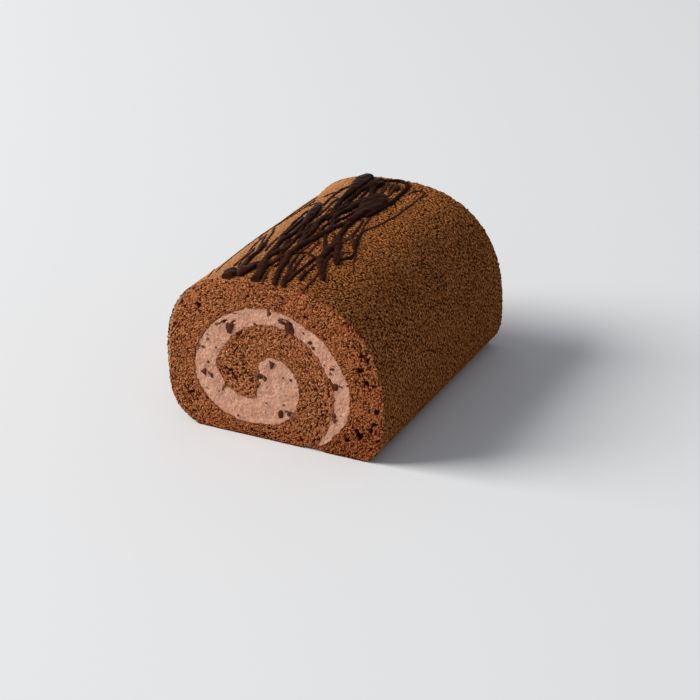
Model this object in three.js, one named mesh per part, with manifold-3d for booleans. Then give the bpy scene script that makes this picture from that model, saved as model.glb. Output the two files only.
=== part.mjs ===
// A chocolate swiss roll: one sponge sheet rolled round a band of cream, cut square at both ends,
// with melted chocolate trailed along its crown. Millimetres, +Z up. The roll lies along Y and
// rests on its flat underside at z = 0.
import * as THREE from 'three';
import { mergeVertices } from 'three/addons/utils/BufferGeometryUtils.js';
import Module from 'manifold-3d';

const wasm = await Module();
wasm.setup();

// The roll.
const rollLength = 140.4;
const widest = { x: -0.85, z: 24.4 };   // middle of the widest line
const leftReach = 54;
const rightReach = 55;
const crownReach = 54.4;          // from the widest line up to the crown
const footReach = 29;             // from the widest line down, before the base cuts it flat
const crownSquareness = { left: 2.98, right: 2.34 };
const footSquareness = { left: 2.85, right: 3.95 };
const skinSides = 84;
const skinBands = 12;
const swellHeight = 0.45;         // how far the skin wanders in and out
const dents = [                   // wider hollows and rises of the skin, in degrees and millimetres
  { angle: 138, y: 58, spread: 28, reach: 18, rise: -1.5 },
  { angle: 160, y: -73, spread: 20, reach: 7, rise: 0.8 },
  { angle: 60, y: -30, spread: 26, reach: 26, rise: 0.4 },
];

// The band of cream, in degrees and millimetres about the middle of the roll. Angles run
// anticlockwise seen from the front, from the seam at the lower right in to the middle.
const rollMiddle = { x: -0.5, z: 29 };
const creamOuterEdge = [
  [-46, 34.8], [-30, 36.6], [-12, 38.1], [8, 38.2], [25, 36.9], [45, 36.2], [65, 35.4], [90, 36.8],
  [120, 37.7], [145, 39.3], [172, 40.4], [190, 39.3], [208, 34.8], [225, 29.7], [250, 22.9], [275, 19.6],
  [300, 17], [318, 14.8], [340, 13.4], [365, 12.4], [400, 12], [430, 12.6], [455, 13.3], [480, 12.2],
  [502, 10.3], [520, 9.1],
];
const creamInnerEdge = [
  [168, 29.9], [145, 29], [120, 29.2], [85, 29.3], [50, 28.6], [25, 28.6], [0, 30.6], [-20, 31.2],
  [-38, 32.6], [-46, 33.2],
];
const sheetStartCurl = [          // the rounded start of the sponge sheet, inside the cream
  [-9, 32.1], [-7.9, 27.3], [-10.2, 20.6], [-17, 19.6], [-24.4, 23.4], [-29, 31], [-29.7, 35.2],
];
const edgeStep = 7;               // degrees between the points of the cream's long edges
const layerGap = 0.3;             // between sponge and cream
const creamRecess = 0.4;          // cream sits this far inside the cut faces

// The seam, where the free end of the sheet meets the layer below it.
const seamFrom = { x: 21.9, z: 3 };
const seamTo = { x: 20.4, z: -1 };
const seamWidth = 0.5;
const seamArch = { x: 19.5, halfWidth: 6.5, rise: 1.3 };

// Torn pores in the front face: x, z and width.
const frontPores = [
  [42.6, 12.6, 4], [40.9, 15, 2.4], [48.3, 16.6, 2.2], [42.8, 45, 2.8], [45.8, 39.6, 2.6], [51, 26.2, 3],
  [-38.6, 61.4, 2.6], [-18.4, 34, 3.4], [-21.6, 30.2, 2.6], [-15.8, 34.6, 2], [14.9, 20.4, 2.4],
  [43.6, 52.6, 2.4], [-44.5, 15.5, 2.6],
];
const strayPores = 26;            // smaller ones, scattered over each face

// Chocolate chips set in the cream at the front: x, z and size.
const frontChips = [
  [-22.6, 53.4, 5.4], [8.7, 59.8, 4.8], [-0.8, 38.8, 3.8], [2.7, 14, 4.4], [7.6, 15, 2.6], [-36, 28.3, 3.4],
  [31.3, 34.8, 3.2], [31, 19.6, 2.6], [28.2, 44, 2.2], [19.4, 52.4, 2.4], [-2.4, 63, 2.4],
  [-5.4, 30.4, 2.4],
];
const backChips = [
  [-31.5, 44.5, 4.2], [-12.5, 61, 3.4], [14.5, 57, 4.6], [32.6, 32, 3.6], [-35.2, 22.8, 3],
  [-17, 12, 4.4], [5.5, 24, 3.8], [5, 36.8, 2.8], [-3.6, 14.4, 2.6], [30.6, 15.6, 2.4], [-37.5, 35.4, 2.2],
];

// Trails of chocolate on the crown: points of x, y and width, from the back to the front.
const trails = [
  [[-19, 65.4, 8.6], [-18.3, 57, 8.2], [-17.5, 48, 5.4], [-17.1, 37, 3.8], [-16, 28, 3], [-14.2, 18, 2.2]],
  [[-11, 62.6, 6], [-11.2, 56.6, 6.4], [-13.3, 50, 3], [-13.1, 40, 2.7], [-12.7, 29.5, 2.4],
    [-13.3, 22.5, 1.8]],
  [[-10, 55, 3.4], [-8.2, 48, 2.4], [-6.8, 42, 2.8]],
  [[-9.8, 65.4, 2], [-2.6, 67.2, 2.4], [3.4, 65.4, 2.5], [6, 57, 2.4], [6.2, 44, 2.6], [5.4, 30, 3],
    [4.3, 18, 2.6]],
  [[-2, 47.2, 4.6], [-2.8, 39.6, 7.8], [-3.4, 32, 5], [-3.6, 23.6, 2.4], [-5, 12.6, 2], [-6.6, 5, 2.4],
    [-5, -3, 3.2], [-6.2, -14, 3.6], [-8.4, -26, 4], [-7.9, -38, 3.2], [-5, -50, 2.8], [-2.2, -62, 2.8],
    [0.7, -70, 2.8]],
  [[0.2, 45.4, 4.4], [2.6, 36, 7.2], [1.4, 26, 5.8], [0, 14, 4.6], [-1.8, 4.4, 3.2], [-4.4, -6, 2.8]],
  [[-6.2, 38, 4], [-7.4, 27, 3.8], [-9.6, 14.6, 2.6], [-8.8, 2, 1.9], [-7.4, -10, 2.2]],
  [[-7.6, 34, 3], [-11.2, 23, 2.8], [-13.4, 11, 3.5], [-13.5, 0.8, 3.2], [-11, -10, 2.6], [-9.4, -25.4, 2.4]],
  [[-15.3, 3, 2], [-14.9, -14, 2.2], [-13.5, -28, 1.9], [-11.2, -44, 2.2], [-10.6, -52, 3]],
  [[-26.2, 27, 3], [-23.5, 18.6, 5.8], [-20.9, 8, 5], [-19.6, -3, 3.2], [-19.1, -15, 2.8],
    [-19.9, -22.6, 2.8]],
  [[-27.8, 14, 1.6], [-25.2, -4, 1.8], [-22.6, -18, 2.6]],
  [[-23.7, 3, 2], [-22.8, -8, 2], [-22.6, -16, 2.4]],
  [[-22.4, -17, 2.6], [-20.4, -29, 2.9], [-17.9, -41, 3.1], [-14, -52.6, 4.4], [-11, -59.6, 4.4],
    [-8.8, -71, 4]],
  [[-15.8, -21, 2.6], [-16.2, -28, 3.2], [-14.6, -40, 2.8], [-12.6, -51, 3]],
  [[0.6, 9, 3], [2.4, -7, 2.9], [5.8, -19, 5], [6.2, -31, 4], [10, -43, 3.4], [16.6, -53.4, 2.8]],
  [[7.4, -19, 3.4], [11.2, -28, 3], [15.2, -36.6, 3.4]],
  [[9.4, -30, 1.8], [13.6, -46.4, 2]],
  [[-4, -9, 1.8], [3.8, -25.4, 2.2]],
  [[10.1, 0, 1.8], [12.9, -12.6, 3], [16.7, -21, 1.9], [14.3, -32, 2.4]],
  [[-28.2, -24, 2], [-24.4, -34, 3.6], [-21.4, -47.4, 3.3], [-20.4, -58, 5.4]],
  [[-24.4, -58.4, 3.4], [-21.4, -62, 9], [-20.8, -73, 6]],
  [[-17.4, -54.4, 3], [-17.6, -65, 4.4]],
  [[-4.6, -36.6, 1.8], [-1, -51.6, 2], [5.4, -71, 2.6]],
  [[4.1, -36, 2], [4.3, -50, 1.9], [4.9, -65, 1.9]],
  [[7.1, -43, 1.6], [8.6, -60.2, 2.2]],
  [[-7.2, -36, 2], [-1, -33.6, 2], [5, -37.4, 2]],
  [[-22.1, 57, 1.4], [-24.4, 46, 1.6], [-24, 34, 1.5], [-22.9, 26.6, 1.5]],
  [[9.1, 55, 1.3], [11.5, 61.8, 1.3], [14.8, 60.6, 1.3], [14.8, 46, 1.3], [14, 24, 1.3], [10.3, 3.6, 1.4]],
  [[3.9, 14, 1.5], [6.9, -2, 1.6], [11.9, -12, 1.7]],
  [[17.3, -21.6, 1.3], [23.3, -37, 1.2]],
  [[10.3, -43, 1.3], [13.2, -58, 1.3], [15.5, -72, 1.3]],
];
const trailStep = 5.2;            // length of each stretch of a trail
const trailSink = 0.5;            // how far a trail's edges reach into the skin
const trailBase = 0.5;            // a trail stands this high, plus a share of its width
const trailShare = 0.3;
const tallestTrail = 2.1;

// A repeatable random number from 0 to 1.
function seededDraw(seed) {
  let state = seed;
  return () => {
    state = (state * 1664525 + 1013904223) % 4294967296;
    return state / 4294967296;
  };
}

// The roll's outline at an angle, before the base cuts it.
function skinRadius(angle) {
  const across = Math.cos(angle);
  const up = Math.sin(angle);
  const squareness = up > 0 ? crownSquareness : footSquareness;
  const power = across < 0 ? squareness.left : squareness.right;
  const sideways = Math.abs(across / (across < 0 ? leftReach : rightReach)) ** power;
  const upright = Math.abs(up / (up > 0 ? crownReach : footReach)) ** power;
  return (sideways + upright) ** (-1 / power);
}

// The soft lumps of the skin, which die out towards the base.
function skinSwell(angle, y, height) {
  const lumps = Math.sin(2 * angle + 0.045 * y) + 0.7 * Math.sin(5 * angle - 0.07 * y + 1.3)
    + 0.6 * Math.sin(0.11 * y + 3 * angle + 2.1);
  let swell = swellHeight * 0.5 * lumps;
  for (const dent of dents) {
    const aside = (THREE.MathUtils.radToDeg(angle) - dent.angle) / dent.spread;
    const away = (y - dent.y) / dent.reach;
    swell += dent.rise * Math.exp(-aside * aside - away * away);
  }
  return swell * THREE.MathUtils.smoothstep(height, 1, 16);
}

// Height of the skin over a point of the crown.
function crownHeight(x, y) {
  const across = x - widest.x;
  const reach = across < 0 ? leftReach : rightReach;
  const power = across < 0 ? crownSquareness.left : crownSquareness.right;
  const height = widest.z + crownReach * (1 - Math.abs(across / reach) ** power) ** (1 / power);
  return height + skinSwell(Math.atan2(height - widest.z, across), y, height);
}

// Points of a polar edge, evenly spaced in angle along a smooth curve through its keys.
function polarEdge(keys) {
  const curve = new THREE.SplineCurve(keys.map(([angle, radius]) => new THREE.Vector2(angle, radius)));
  const sweep = Math.abs(keys[keys.length - 1][0] - keys[0][0]);
  return curve.getPoints(Math.round(sweep / edgeStep)).map((key) => {
    const angle = THREE.MathUtils.degToRad(key.x);
    return new THREE.Vector2(rollMiddle.x + key.y * Math.cos(angle), rollMiddle.z + key.y * Math.sin(angle));
  });
}

// The closed outline of the cream's channel.
function channelOutline() {
  const curl = new THREE.SplineCurve(sheetStartCurl.map(([x, z]) => new THREE.Vector2(x, z)));
  const points = [...polarEdge(creamOuterEdge), ...curl.getPoints(14), ...polarEdge(creamInnerEdge)];
  return points.filter((point, i) => point.distanceTo(points[(i + 1) % points.length]) > 0.3);
}

// The same outline, drawn in by a distance on all sides. The points run anticlockwise.
function drawnIn(points, distance) {
  return points.map((point, i) => {
    const before = points[(i + points.length - 1) % points.length];
    const after = points[(i + 1) % points.length];
    const along = after.clone().sub(before).normalize();
    return new THREE.Vector2(point.x - along.y * distance, point.y + along.x * distance);
  });
}

function solidOf(geometry) {
  geometry.deleteAttribute('normal');
  geometry.deleteAttribute('uv');
  const merged = mergeVertices(geometry, 1e-4);
  return new wasm.Manifold(new wasm.Mesh({
    numProp: 3,
    vertProperties: new Float32Array(merged.attributes.position.array),
    triVerts: new Uint32Array(merged.index.array),
  }));
}

// A prism along Y, centred on y = 0, from an outline in X and Z.
function prism(points, length, bands = 1) {
  const geometry = new THREE.ExtrudeGeometry(new THREE.Shape(points), {
    depth: length, steps: bands, bevelEnabled: false,
  });
  geometry.rotateX(Math.PI / 2);
  geometry.translate(0, length / 2, 0);
  return geometry;
}

function rolledLog() {
  const outline = [];
  for (let i = 0; i < skinSides; i++) {
    const angle = (i / skinSides) * 2 * Math.PI;
    const radius = skinRadius(angle);
    outline.push(new THREE.Vector2(widest.x + radius * Math.cos(angle), widest.z + radius * Math.sin(angle)));
  }
  const geometry = prism(outline, rollLength, skinBands);
  const position = geometry.attributes.position;
  for (let i = 0; i < position.count; i++) {
    const x = position.getX(i);
    const z = position.getZ(i);
    const angle = Math.atan2(z - widest.z, x - widest.x);
    const swell = skinSwell(angle, position.getY(i), z);
    position.setX(i, x + swell * Math.cos(angle));
    position.setZ(i, z + swell * Math.sin(angle));
  }
  const below = new THREE.BoxGeometry(300, 300, 100);
  below.translate(0, 0, -50);
  return solidOf(geometry).subtract(solidOf(below));
}

// The open seam under the roll, with the shallow arch that the sheet's free end leaves.
function seamCut() {
  const half = seamWidth / 2;
  const slit = prism([
    new THREE.Vector2(seamTo.x - half, seamTo.z), new THREE.Vector2(seamTo.x + half, seamTo.z),
    new THREE.Vector2(seamFrom.x + half, seamFrom.z), new THREE.Vector2(seamFrom.x - half, seamFrom.z),
  ], 2 * rollLength);
  const radius = (seamArch.halfWidth ** 2 + seamArch.rise ** 2) / (2 * seamArch.rise);
  const arch = new THREE.CylinderGeometry(radius, radius, 2 * rollLength, 72);
  arch.translate(seamArch.x, 0, seamArch.rise - radius);
  return solidOf(slit).add(solidOf(arch));
}

// An uneven lump with few faces, for pores and chips.
function lump(x, y, z, size, draw, depth) {
  const geometry = new THREE.IcosahedronGeometry(size / 2, 0);
  geometry.rotateX(6 * draw());
  geometry.rotateZ(6 * draw());
  geometry.scale(0.85 + 0.4 * draw(), depth, 0.75 + 0.3 * draw());
  geometry.rotateY(6 * draw());
  geometry.translate(x, y, z);
  return solidOf(geometry);
}

// Pores torn in a cut face. Stray ones are kept inside the skin and off the cream.
function pores(face, listed, seed) {
  const draw = seededDraw(seed);
  const cut = listed.map(([x, z, size]) => lump(x, face, z, size, draw, 1));
  while (cut.length < listed.length + strayPores) {
    const angle = 2 * Math.PI * draw();
    const size = 1.1 + 0.9 * draw();
    const radius = Math.min(43 + 7 * draw(), skinRadius(angle) - 2.5);
    const x = widest.x + radius * Math.cos(angle);
    const z = widest.z + radius * Math.sin(angle);
    if (z > 3 && Math.hypot(x - rollMiddle.x, z - rollMiddle.z) > 43) {
      cut.push(lump(x, face, z, size, draw, 1));
    }
  }
  return cut.reduce((all, one) => all.add(one));
}

function chips(face, listed, seed) {
  const draw = seededDraw(seed);
  const inward = -Math.sign(face);
  return listed.map(([x, z, size]) => lump(x, face + inward * 0.28 * size, z, size, draw, 0.56));
}

// One trail of chocolate: a low domed bar laid over the skin along a smooth curve.
function trail(points) {
  const curve = new THREE.CatmullRomCurve3(points.map(([x, y, width]) => new THREE.Vector3(x, y, width)));
  const steps = Math.max(2, Math.round(curve.getLength() / trailStep));
  const dome = [[-0.5, 0], [-0.42, 0.5], [-0.17, 1], [0.17, 1], [0.42, 0.5], [0.5, 0]];
  const shape = new THREE.Shape(dome.map(([across, up]) => new THREE.Vector2(across, up)).reverse());
  const geometry = new THREE.ExtrudeGeometry(shape, { depth: 1, steps, bevelEnabled: false });
  const position = geometry.attributes.position;
  for (let i = 0; i < position.count; i++) {
    const along = THREE.MathUtils.clamp(position.getZ(i), 0, 1);
    const place = curve.getPointAt(along);
    const ahead = curve.getTangentAt(along);
    const heading = Math.atan2(ahead.y, ahead.x);
    const blunt = along < 1e-4 || along > 1 - 1e-4 ? 0.55 : 1;
    const across = position.getX(i) * place.z * blunt;
    const x = place.x - Math.sin(heading) * across;
    const y = place.y + Math.cos(heading) * across;
    const height = Math.min(tallestTrail, trailBase + trailShare * place.z) * blunt;
    const lift = position.getY(i) * (height + trailSink) - trailSink;
    position.setXYZ(i, x, y, crownHeight(x, y) + lift);
  }
  return solidOf(geometry);
}

function chocolate() {
  const slab = solidOf(new THREE.BoxGeometry(300, rollLength, 300));
  return trails.map(trail).reduce((all, one) => all.add(one)).intersect(slab);
}

function meshOf(solid, name, material) {
  const { vertProperties, triVerts } = solid.getMesh();
  const geometry = new THREE.BufferGeometry();
  geometry.setAttribute('position', new THREE.BufferAttribute(vertProperties, 3));
  geometry.setIndex(new THREE.BufferAttribute(triVerts, 1));
  geometry.computeVertexNormals();
  const mesh = new THREE.Mesh(geometry, material);
  mesh.name = name;
  return mesh;
}

const channel = channelOutline();
const frontFace = -rollLength / 2;
const backFace = rollLength / 2;

const sponge = rolledLog()
  .add(chocolate())
  .subtract(solidOf(prism(channel, 2 * rollLength)))
  .subtract(seamCut())
  .subtract(pores(frontFace, frontPores, 7))
  .subtract(pores(backFace, [], 19));

const creamOutline = drawnIn(channel, layerGap);
const creamBar = solidOf(prism(creamOutline, rollLength - 2 * creamRecess));
const cream = [...chips(frontFace, frontChips, 3), ...chips(backFace, backChips, 5)]
  .reduce((all, one) => all.add(one))
  .intersect(solidOf(prism(creamOutline, rollLength)))
  .add(creamBar);

const spongeFinish = new THREE.MeshStandardMaterial({ color: 0x6e4a2c, roughness: 0.95, metalness: 0 });
const creamFinish = new THREE.MeshStandardMaterial({ color: 0xa67f6c, roughness: 0.7, metalness: 0 });
const swissRoll = new THREE.Group();
swissRoll.add(meshOf(sponge, 'sponge', spongeFinish), meshOf(cream, 'cream', creamFinish));

const middle = new THREE.Box3().setFromObject(swissRoll).getCenter(new THREE.Vector3());
swissRoll.position.set(-middle.x, -middle.y, 0);

export default swissRoll;
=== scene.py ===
import math
import random

import bpy
import numpy as np
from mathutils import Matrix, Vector, noise


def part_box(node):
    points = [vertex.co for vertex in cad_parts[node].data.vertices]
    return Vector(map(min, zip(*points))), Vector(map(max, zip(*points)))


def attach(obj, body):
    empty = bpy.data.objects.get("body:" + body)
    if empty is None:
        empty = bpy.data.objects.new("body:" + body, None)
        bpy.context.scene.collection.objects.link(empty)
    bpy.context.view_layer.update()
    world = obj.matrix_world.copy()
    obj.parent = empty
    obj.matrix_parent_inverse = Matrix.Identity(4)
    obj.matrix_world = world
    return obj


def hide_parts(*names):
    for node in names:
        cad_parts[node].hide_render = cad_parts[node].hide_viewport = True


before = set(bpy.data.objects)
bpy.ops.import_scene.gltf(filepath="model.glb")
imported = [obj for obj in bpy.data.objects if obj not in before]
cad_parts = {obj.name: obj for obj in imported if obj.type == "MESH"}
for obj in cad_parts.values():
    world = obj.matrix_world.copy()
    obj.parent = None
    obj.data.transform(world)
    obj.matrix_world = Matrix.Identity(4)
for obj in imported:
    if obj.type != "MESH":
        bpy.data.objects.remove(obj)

noise.seed_set(5)       # without it, noise_vector differs from run to run

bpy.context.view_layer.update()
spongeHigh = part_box("sponge")[1]
creamLow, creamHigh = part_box("cream")
mm = 0.001


# The roll in section, in millimetres. The angles are seen from the front, anticlockwise.
roll = {
    "halfLength": spongeHigh.y / mm,
    "widest": (-0.85, 24.4),        # middle of the widest line
    "leftReach": 54.0,
    "rightReach": 55.0,
    "crownReach": 54.4,
    "footReach": 29.0,
    "crownSquareness": (2.98, 2.34),    # left, right
    "footSquareness": (2.85, 3.95),
    "swell": 0.225,                 # how far the skin wanders in and out
    "lumps": [                      # share of the swell, times round, turn for each mm along, start
        (1, 2, 0.045, 0), (0.7, 5, -0.07, 1.3), (0.6, 3, 0.11, 2.1),
    ],
    "swellRise": (1, 15),           # height where the swell starts, and its run to the full swell
    "dents": [                      # angle, y, reach in degrees, reach along y, depth or rise
        (138, 58, 28, 18, -1.5), (160, -73, 20, 7, 0.8), (60, -30, 26, 26, 0.4),
    ],
    "middle": (-0.5, 29.0),         # middle of the cream's spiral
    "arch": (19.5, 6.5, 1.3),       # under the seam: middle, half width, rise
    "seamFoot": (20.2, 0.9),
    "seamTop": (21.0, 3.4),
    "columnStep": 0.3,              # spacing of the mesh along the sheet
    "innerWeight": 0.8,             # how much a step on the sheet's inner side counts
    "curlCount": 44,                # lines in the rounded start of the sheet
    "acrossCount": 48,
    "rowStep": 0.38,                # spacing along the roll
    "skinFrom": 0.999,              # share of the way across the sheet where its skin is
}
sheetRuns = {           # fine lines of each length, and first angle and sweep of its two sides in degrees
    "skin": {"lines": 7200, "creamSide": (-50, 354), "outerSide": (-48.9, 359.6)},
    "seam": {"lines": 120, "creamSide": (304, 9)},
    "inside": {"lines": 4000, "creamSide": (313, 207), "outerSide": (-50, 218)},
}
creamOuterKeys = [      # angle and distance from the middle
    (-50, 34), (-42, 35.6), (-30, 36.6), (-12, 38.1), (8, 38.2), (25, 36.9), (45, 36.2), (65, 35.4),
    (90, 36.8), (120, 37.7), (145, 39.3), (172, 40.4), (190, 39.3), (208, 34.8), (225, 29.7), (250, 22.9),
    (275, 19.6), (300, 17), (318, 14.8), (340, 13.4), (365, 12.4), (400, 12), (430, 12.6), (455, 13.3),
    (480, 12.2), (502, 10.3), (520, 9.1),
]
creamInnerKeys = [
    (-50, 33.6), (-38, 32.6), (-20, 31.2), (0, 30.6), (25, 28.6), (50, 28.6), (85, 29.3), (120, 29.2),
    (145, 29), (168, 29.9),
]
curlPoints = [          # the sheet's rounded start, from its outer side round to its inner side
    (-29.7, 35.2), (-29, 31), (-24.4, 23.4), (-17, 19.6), (-10.2, 20.6), (-7.9, 27.3), (-9, 32.1),
]


def clamp(value):
    return min(max(value, 0), 1)


def ramp(value, start, run):
    # 0 up to the start, 1 past the run and even between them; a negative run goes down
    return clamp((value - start) / run)


def smoothPath(points, perSpan=30):
    # uniform Catmull-Rom through the points
    last = len(points) - 1
    path = []
    for i in range(last):
        corners = np.array([points[max(i - 1, 0)], points[i], points[i + 1], points[min(i + 2, last)]],
                           float)
        for t in np.arange(perSpan) / perSpan:
            weights = np.array([-t + 2 * t**2 - t**3, 2 - 5 * t**2 + 3 * t**3,
                                t + 4 * t**2 - 3 * t**3, t**3 - t**2]) / 2
            path.append(weights @ corners)
    path.append(np.array(points[last], float))
    return np.array(path)


creamOuterPath = smoothPath(creamOuterKeys)
creamInnerPath = smoothPath(creamInnerKeys)
curlPath = smoothPath(curlPoints)


def polarPoint(path, degrees):
    distance = np.interp(degrees, path[:, 0], path[:, 1])
    angle = math.radians(degrees)
    return (roll["middle"][0] + distance * math.cos(angle), roll["middle"][1] + distance * math.sin(angle))


def alongRun(run, share):
    first, sweep = run
    return first + sweep * share


def alongCurl(share):
    steps = np.hypot(*np.diff(curlPath, axis=0).T)
    length = np.concatenate([[0], np.cumsum(steps)])
    wanted = share * length[-1]
    x, z = curlPath.T
    return (float(np.interp(wanted, length, x)), float(np.interp(wanted, length, z)))


def archHeight(x):
    middle, half, rise = roll["arch"]
    if abs(x - middle) >= half:
        return 0.0
    radius = (half**2 + rise**2) / (2 * rise)
    return math.sqrt(radius**2 - (x - middle)**2) + rise - radius


def outlinePoint(angle):
    across, up = math.cos(angle), math.sin(angle)
    side = 1 if across > 0 else 0
    power = roll["crownSquareness"][side] if up > 0 else roll["footSquareness"][side]
    reach = roll["rightReach"] if across > 0 else roll["leftReach"]
    rise = roll["crownReach"] if up > 0 else roll["footReach"]
    radius = (abs(across / reach)**power + abs(up / rise)**power)**(-1 / power)
    if roll["widest"][1] + radius * up < 0:
        radius = -roll["widest"][1] / up
    x = roll["widest"][0] + radius * across
    return (x, max(roll["widest"][1] + radius * up, archHeight(x)))


def skinSwell(angle, y, z):
    # soft lumps that die out towards the base
    swell = roll["swell"] * sum(share * math.sin(times * angle + pace * y + start)
                                for share, times, pace, start in roll["lumps"])
    for turn, place, turnReach, reach, amount in roll["dents"]:
        swell += amount * math.exp(-((math.degrees(angle) - turn) / turnReach)**2 - ((y - place) / reach)**2)
    rise = ramp(z, *roll["swellRise"])
    return swell * rise * rise * (3 - 2 * rise)


def crownHeight(x, y):
    across = x - roll["widest"][0]
    reach = roll["rightReach"] if across > 0 else roll["leftReach"]
    power = roll["crownSquareness"][1 if across > 0 else 0]
    height = roll["widest"][1] + roll["crownReach"] * (1 - abs(across / reach)**power)**(1 / power)
    return height + skinSwell(math.atan2(height - roll["widest"][1], across), y, height)


creamAcross = [polarPoint(creamOuterPath, degrees)[0] for degrees in range(-50, 300)]
sideShift = (creamLow.x + creamHigh.x) / 2 / mm - (min(creamAcross) + max(creamAcross)) / 2


def toPlace(point, y):
    return ((point[0] + sideShift) * mm, y * mm, point[1] * mm)


def fineLines():
    # lines across the sponge sheet, from the side that faces the middle to the outer side,
    # in order from the free end at the seam in to the rounded start
    lines = []
    skinRun, seamRun, insideRun = sheetRuns["skin"], sheetRuns["seam"], sheetRuns["inside"]
    for i in range(skinRun["lines"]):
        share = i / (skinRun["lines"] - 1)
        inner = polarPoint(creamOuterPath, alongRun(skinRun["creamSide"], share))
        angle = math.radians(alongRun(skinRun["outerSide"], share))
        lines.append((inner, outlinePoint(angle), angle, "skin"))
    for share in np.linspace(0, 1, seamRun["lines"]):
        foot, top = roll["seamFoot"], roll["seamTop"]
        outer = (foot[0] + (top[0] - foot[0]) * share, foot[1] + (top[1] - foot[1]) * share)
        lines.append((polarPoint(creamOuterPath, alongRun(seamRun["creamSide"], share)), outer, 0, "seam"))
    for share in np.linspace(0, 1, insideRun["lines"]):
        inner = polarPoint(creamOuterPath, alongRun(insideRun["creamSide"], share))
        outer = polarPoint(creamInnerPath, alongRun(insideRun["outerSide"], share))
        lines.append((inner, outer, 0, "inside"))
    return lines


def sheetColumns():
    # the fine lines thinned out to even steps along the sheet
    lines = fineLines()
    columns = []
    travelled, wanted, along = 0.0, 0.0, 0.0
    for before, line in zip([lines[0]] + lines, lines):
        a, b = np.array(before[1]), np.array(line[1])
        ai, bi = np.array(before[0]), np.array(line[0])
        travelled += max(math.hypot(*(b - a)), roll["innerWeight"] * math.hypot(*(bi - ai)))
        along += math.hypot(*((b + bi) - (a + ai))) / 2
        if travelled >= wanted:
            columns.append({"inner": bi, "outer": b, "angle": line[2], "kind": line[3], "along": along})
            wanted += roll["columnStep"]
    for i, column in enumerate(columns):
        normal = np.zeros(2)
        if column["kind"] == "skin":
            ahead = columns[min(i + 1, len(columns) - 1)]
            behind = columns[max(i - 1, 0)]
            run = ahead["outer"] - behind["outer"]
            if ahead["kind"] == "skin":
                normal = np.array([run[1], -run[0]]) / math.hypot(*run)
            else:
                normal = np.array([0.0, -1.0])
        column["normal"] = normal
    inner, outer = lines[-1][:2]
    return columns, [np.array(inner), np.array(outer)]


# Pores and raised grain, in millimetres. A pair is the mean of a value and how much it varies.
plainTone = 0.3         # the pore attribute on a surface that is neither raised nor hollow
skinTexture = {
    "warp": 0.35,                       # how far the pattern strays from its place
    "poreSize": 0.92, "fineSize": 0.5, "poreDepth": 0.46, "poreShare": (0.85, 0.5),
    "poreFrom": 0.1, "poreRun": 0.4,    # where on the noise a pit starts, and how it deepens
    "roundSpacing": 1.75, "roundSize": (0.2, 0.16), "roundRun": 0.11,
    "lumpSize": 3.2, "lumps": 0.16, "grain": 0.16,
    "calmBelow": 20, "calm": (0.55, 0.45),      # the skin is smoother low down
    "endLumps": 0.75, "endWidth": 1.2,  # along the cut edge
    # painted shade: how much darker the skin's flanks are painted than its crown, fading out up towards the
    # crown and down towards the foot
    "paintedShade": 0.42, "paintedShadeFade": (68, -26), "paintedShadeFoot": 45,
}
crumbTexture = {
    "warp": 0.5, "stretch": 0.66,
    "poreSize": 0.52, "fineSize": 0.32, "poreDepth": 0.6, "poreShare": (0.8, 0.6),
    "poreFrom": 0.2, "poreRun": 0.3,
    "splitFrom": 0.35, "splitRun": 0.12, "splitDepth": 1.1,
    "voidSpacing": 4.6, "voidSize": (0.13, 0.2), "voidDepth": 1.2,
    "lumpSize": 2.3, "lumps": 0.17, "grain": 0.34, "uneven": 0.35,
    "rimWidth": 1.0, "rimFall": 0.3, "rimShare": (0.6, 0.9),    # the face falls away at the skin
    "footFall": 0.9, "footHeight": 1.3,                         # and at the floor
    "soakWidth": 1.5, "soakMost": 0.6, "soakVaries": 0.5, "soakFlattens": 0.6,     # cream that has soaked in
    "gapWidth": 0.85, "gapDepth": 1.1, "gapShare": (0.5, 1.6),  # crumb torn away from the cream
    "tornDepth": 0.62,                  # depth of a torn pore for its width
    "set": 0.25,                        # the whole face lies this far in
    "proud": 0.1,                       # and no crumb stands out further than this
    "farIn": 9.0,                       # counts as the distance to the skin where there is none
    "wanderFrom": 3,                    # distance from the skin where the border wanders in full
}
# painted shade on the cut faces: how strongly the crumb is painted darker and redder near the floor, low at
# the right, towards the right and along the top
crumbPaintedShade = {"foot": 0.9, "footHeight": 12, "lowRight": 0.42, "right": 0.62, "top": 0.3}
borderWander = [(0.55, 0.3, 11.0), (0.45, 0.85, 23.0), (0.3, 1.7, 37.0)]    # reach, pace, layer of noise
coarseSpots = [     # where the crumb is torn more coarsely: x, z, reach, how much
    (44, 10, 15, 0.8), (-36, 5, 14, 0.5), (-16, 28, 9, 0.5), (46, 44, 12, 0.4), (0, 2, 16, 0.3),
]
frontPores = [      # torn pores in the front face: x, z, width
    (42.6, 12.6, 4.2), (40.9, 15, 2.8), (48.3, 16.6, 2.6), (50.2, 20, 2.4), (42.8, 45, 3.2),
    (45.8, 39.6, 3), (51, 26.2, 2.6), (-38.6, 61.4, 3), (-19.1, 35, 1.7), (-15.9, 35.8, 1.7),
    (-15.8, 33.8, 2), (-24.8, 32.4, 1.7), (-23, 31.4, 2), (-21.2, 30.4, 2.2), (14.9, 20.4, 2),
    (43.6, 52.6, 2.6), (-44.5, 15.5, 2.2), (36.6, 9, 2.4), (46.4, 51.2, 2.2), (13.2, 4.4, 2.2),
    (49.4, 38.4, 2),
]
backPores = [
    (-42, 44, 3.4), (-30, 60, 2.4), (12, 70, 2.8), (44, 30, 3.6), (38, 52, 2.4), (-46, 18, 3), (14, 24, 2.6),
    (4, 48, 2.8), (-16, 30, 3), (30, 8, 2.6), (-40, 8, 3.2), (46, 12, 2.6), (-20, 68, 2.2), (28, 60, 2.4),
]


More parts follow.
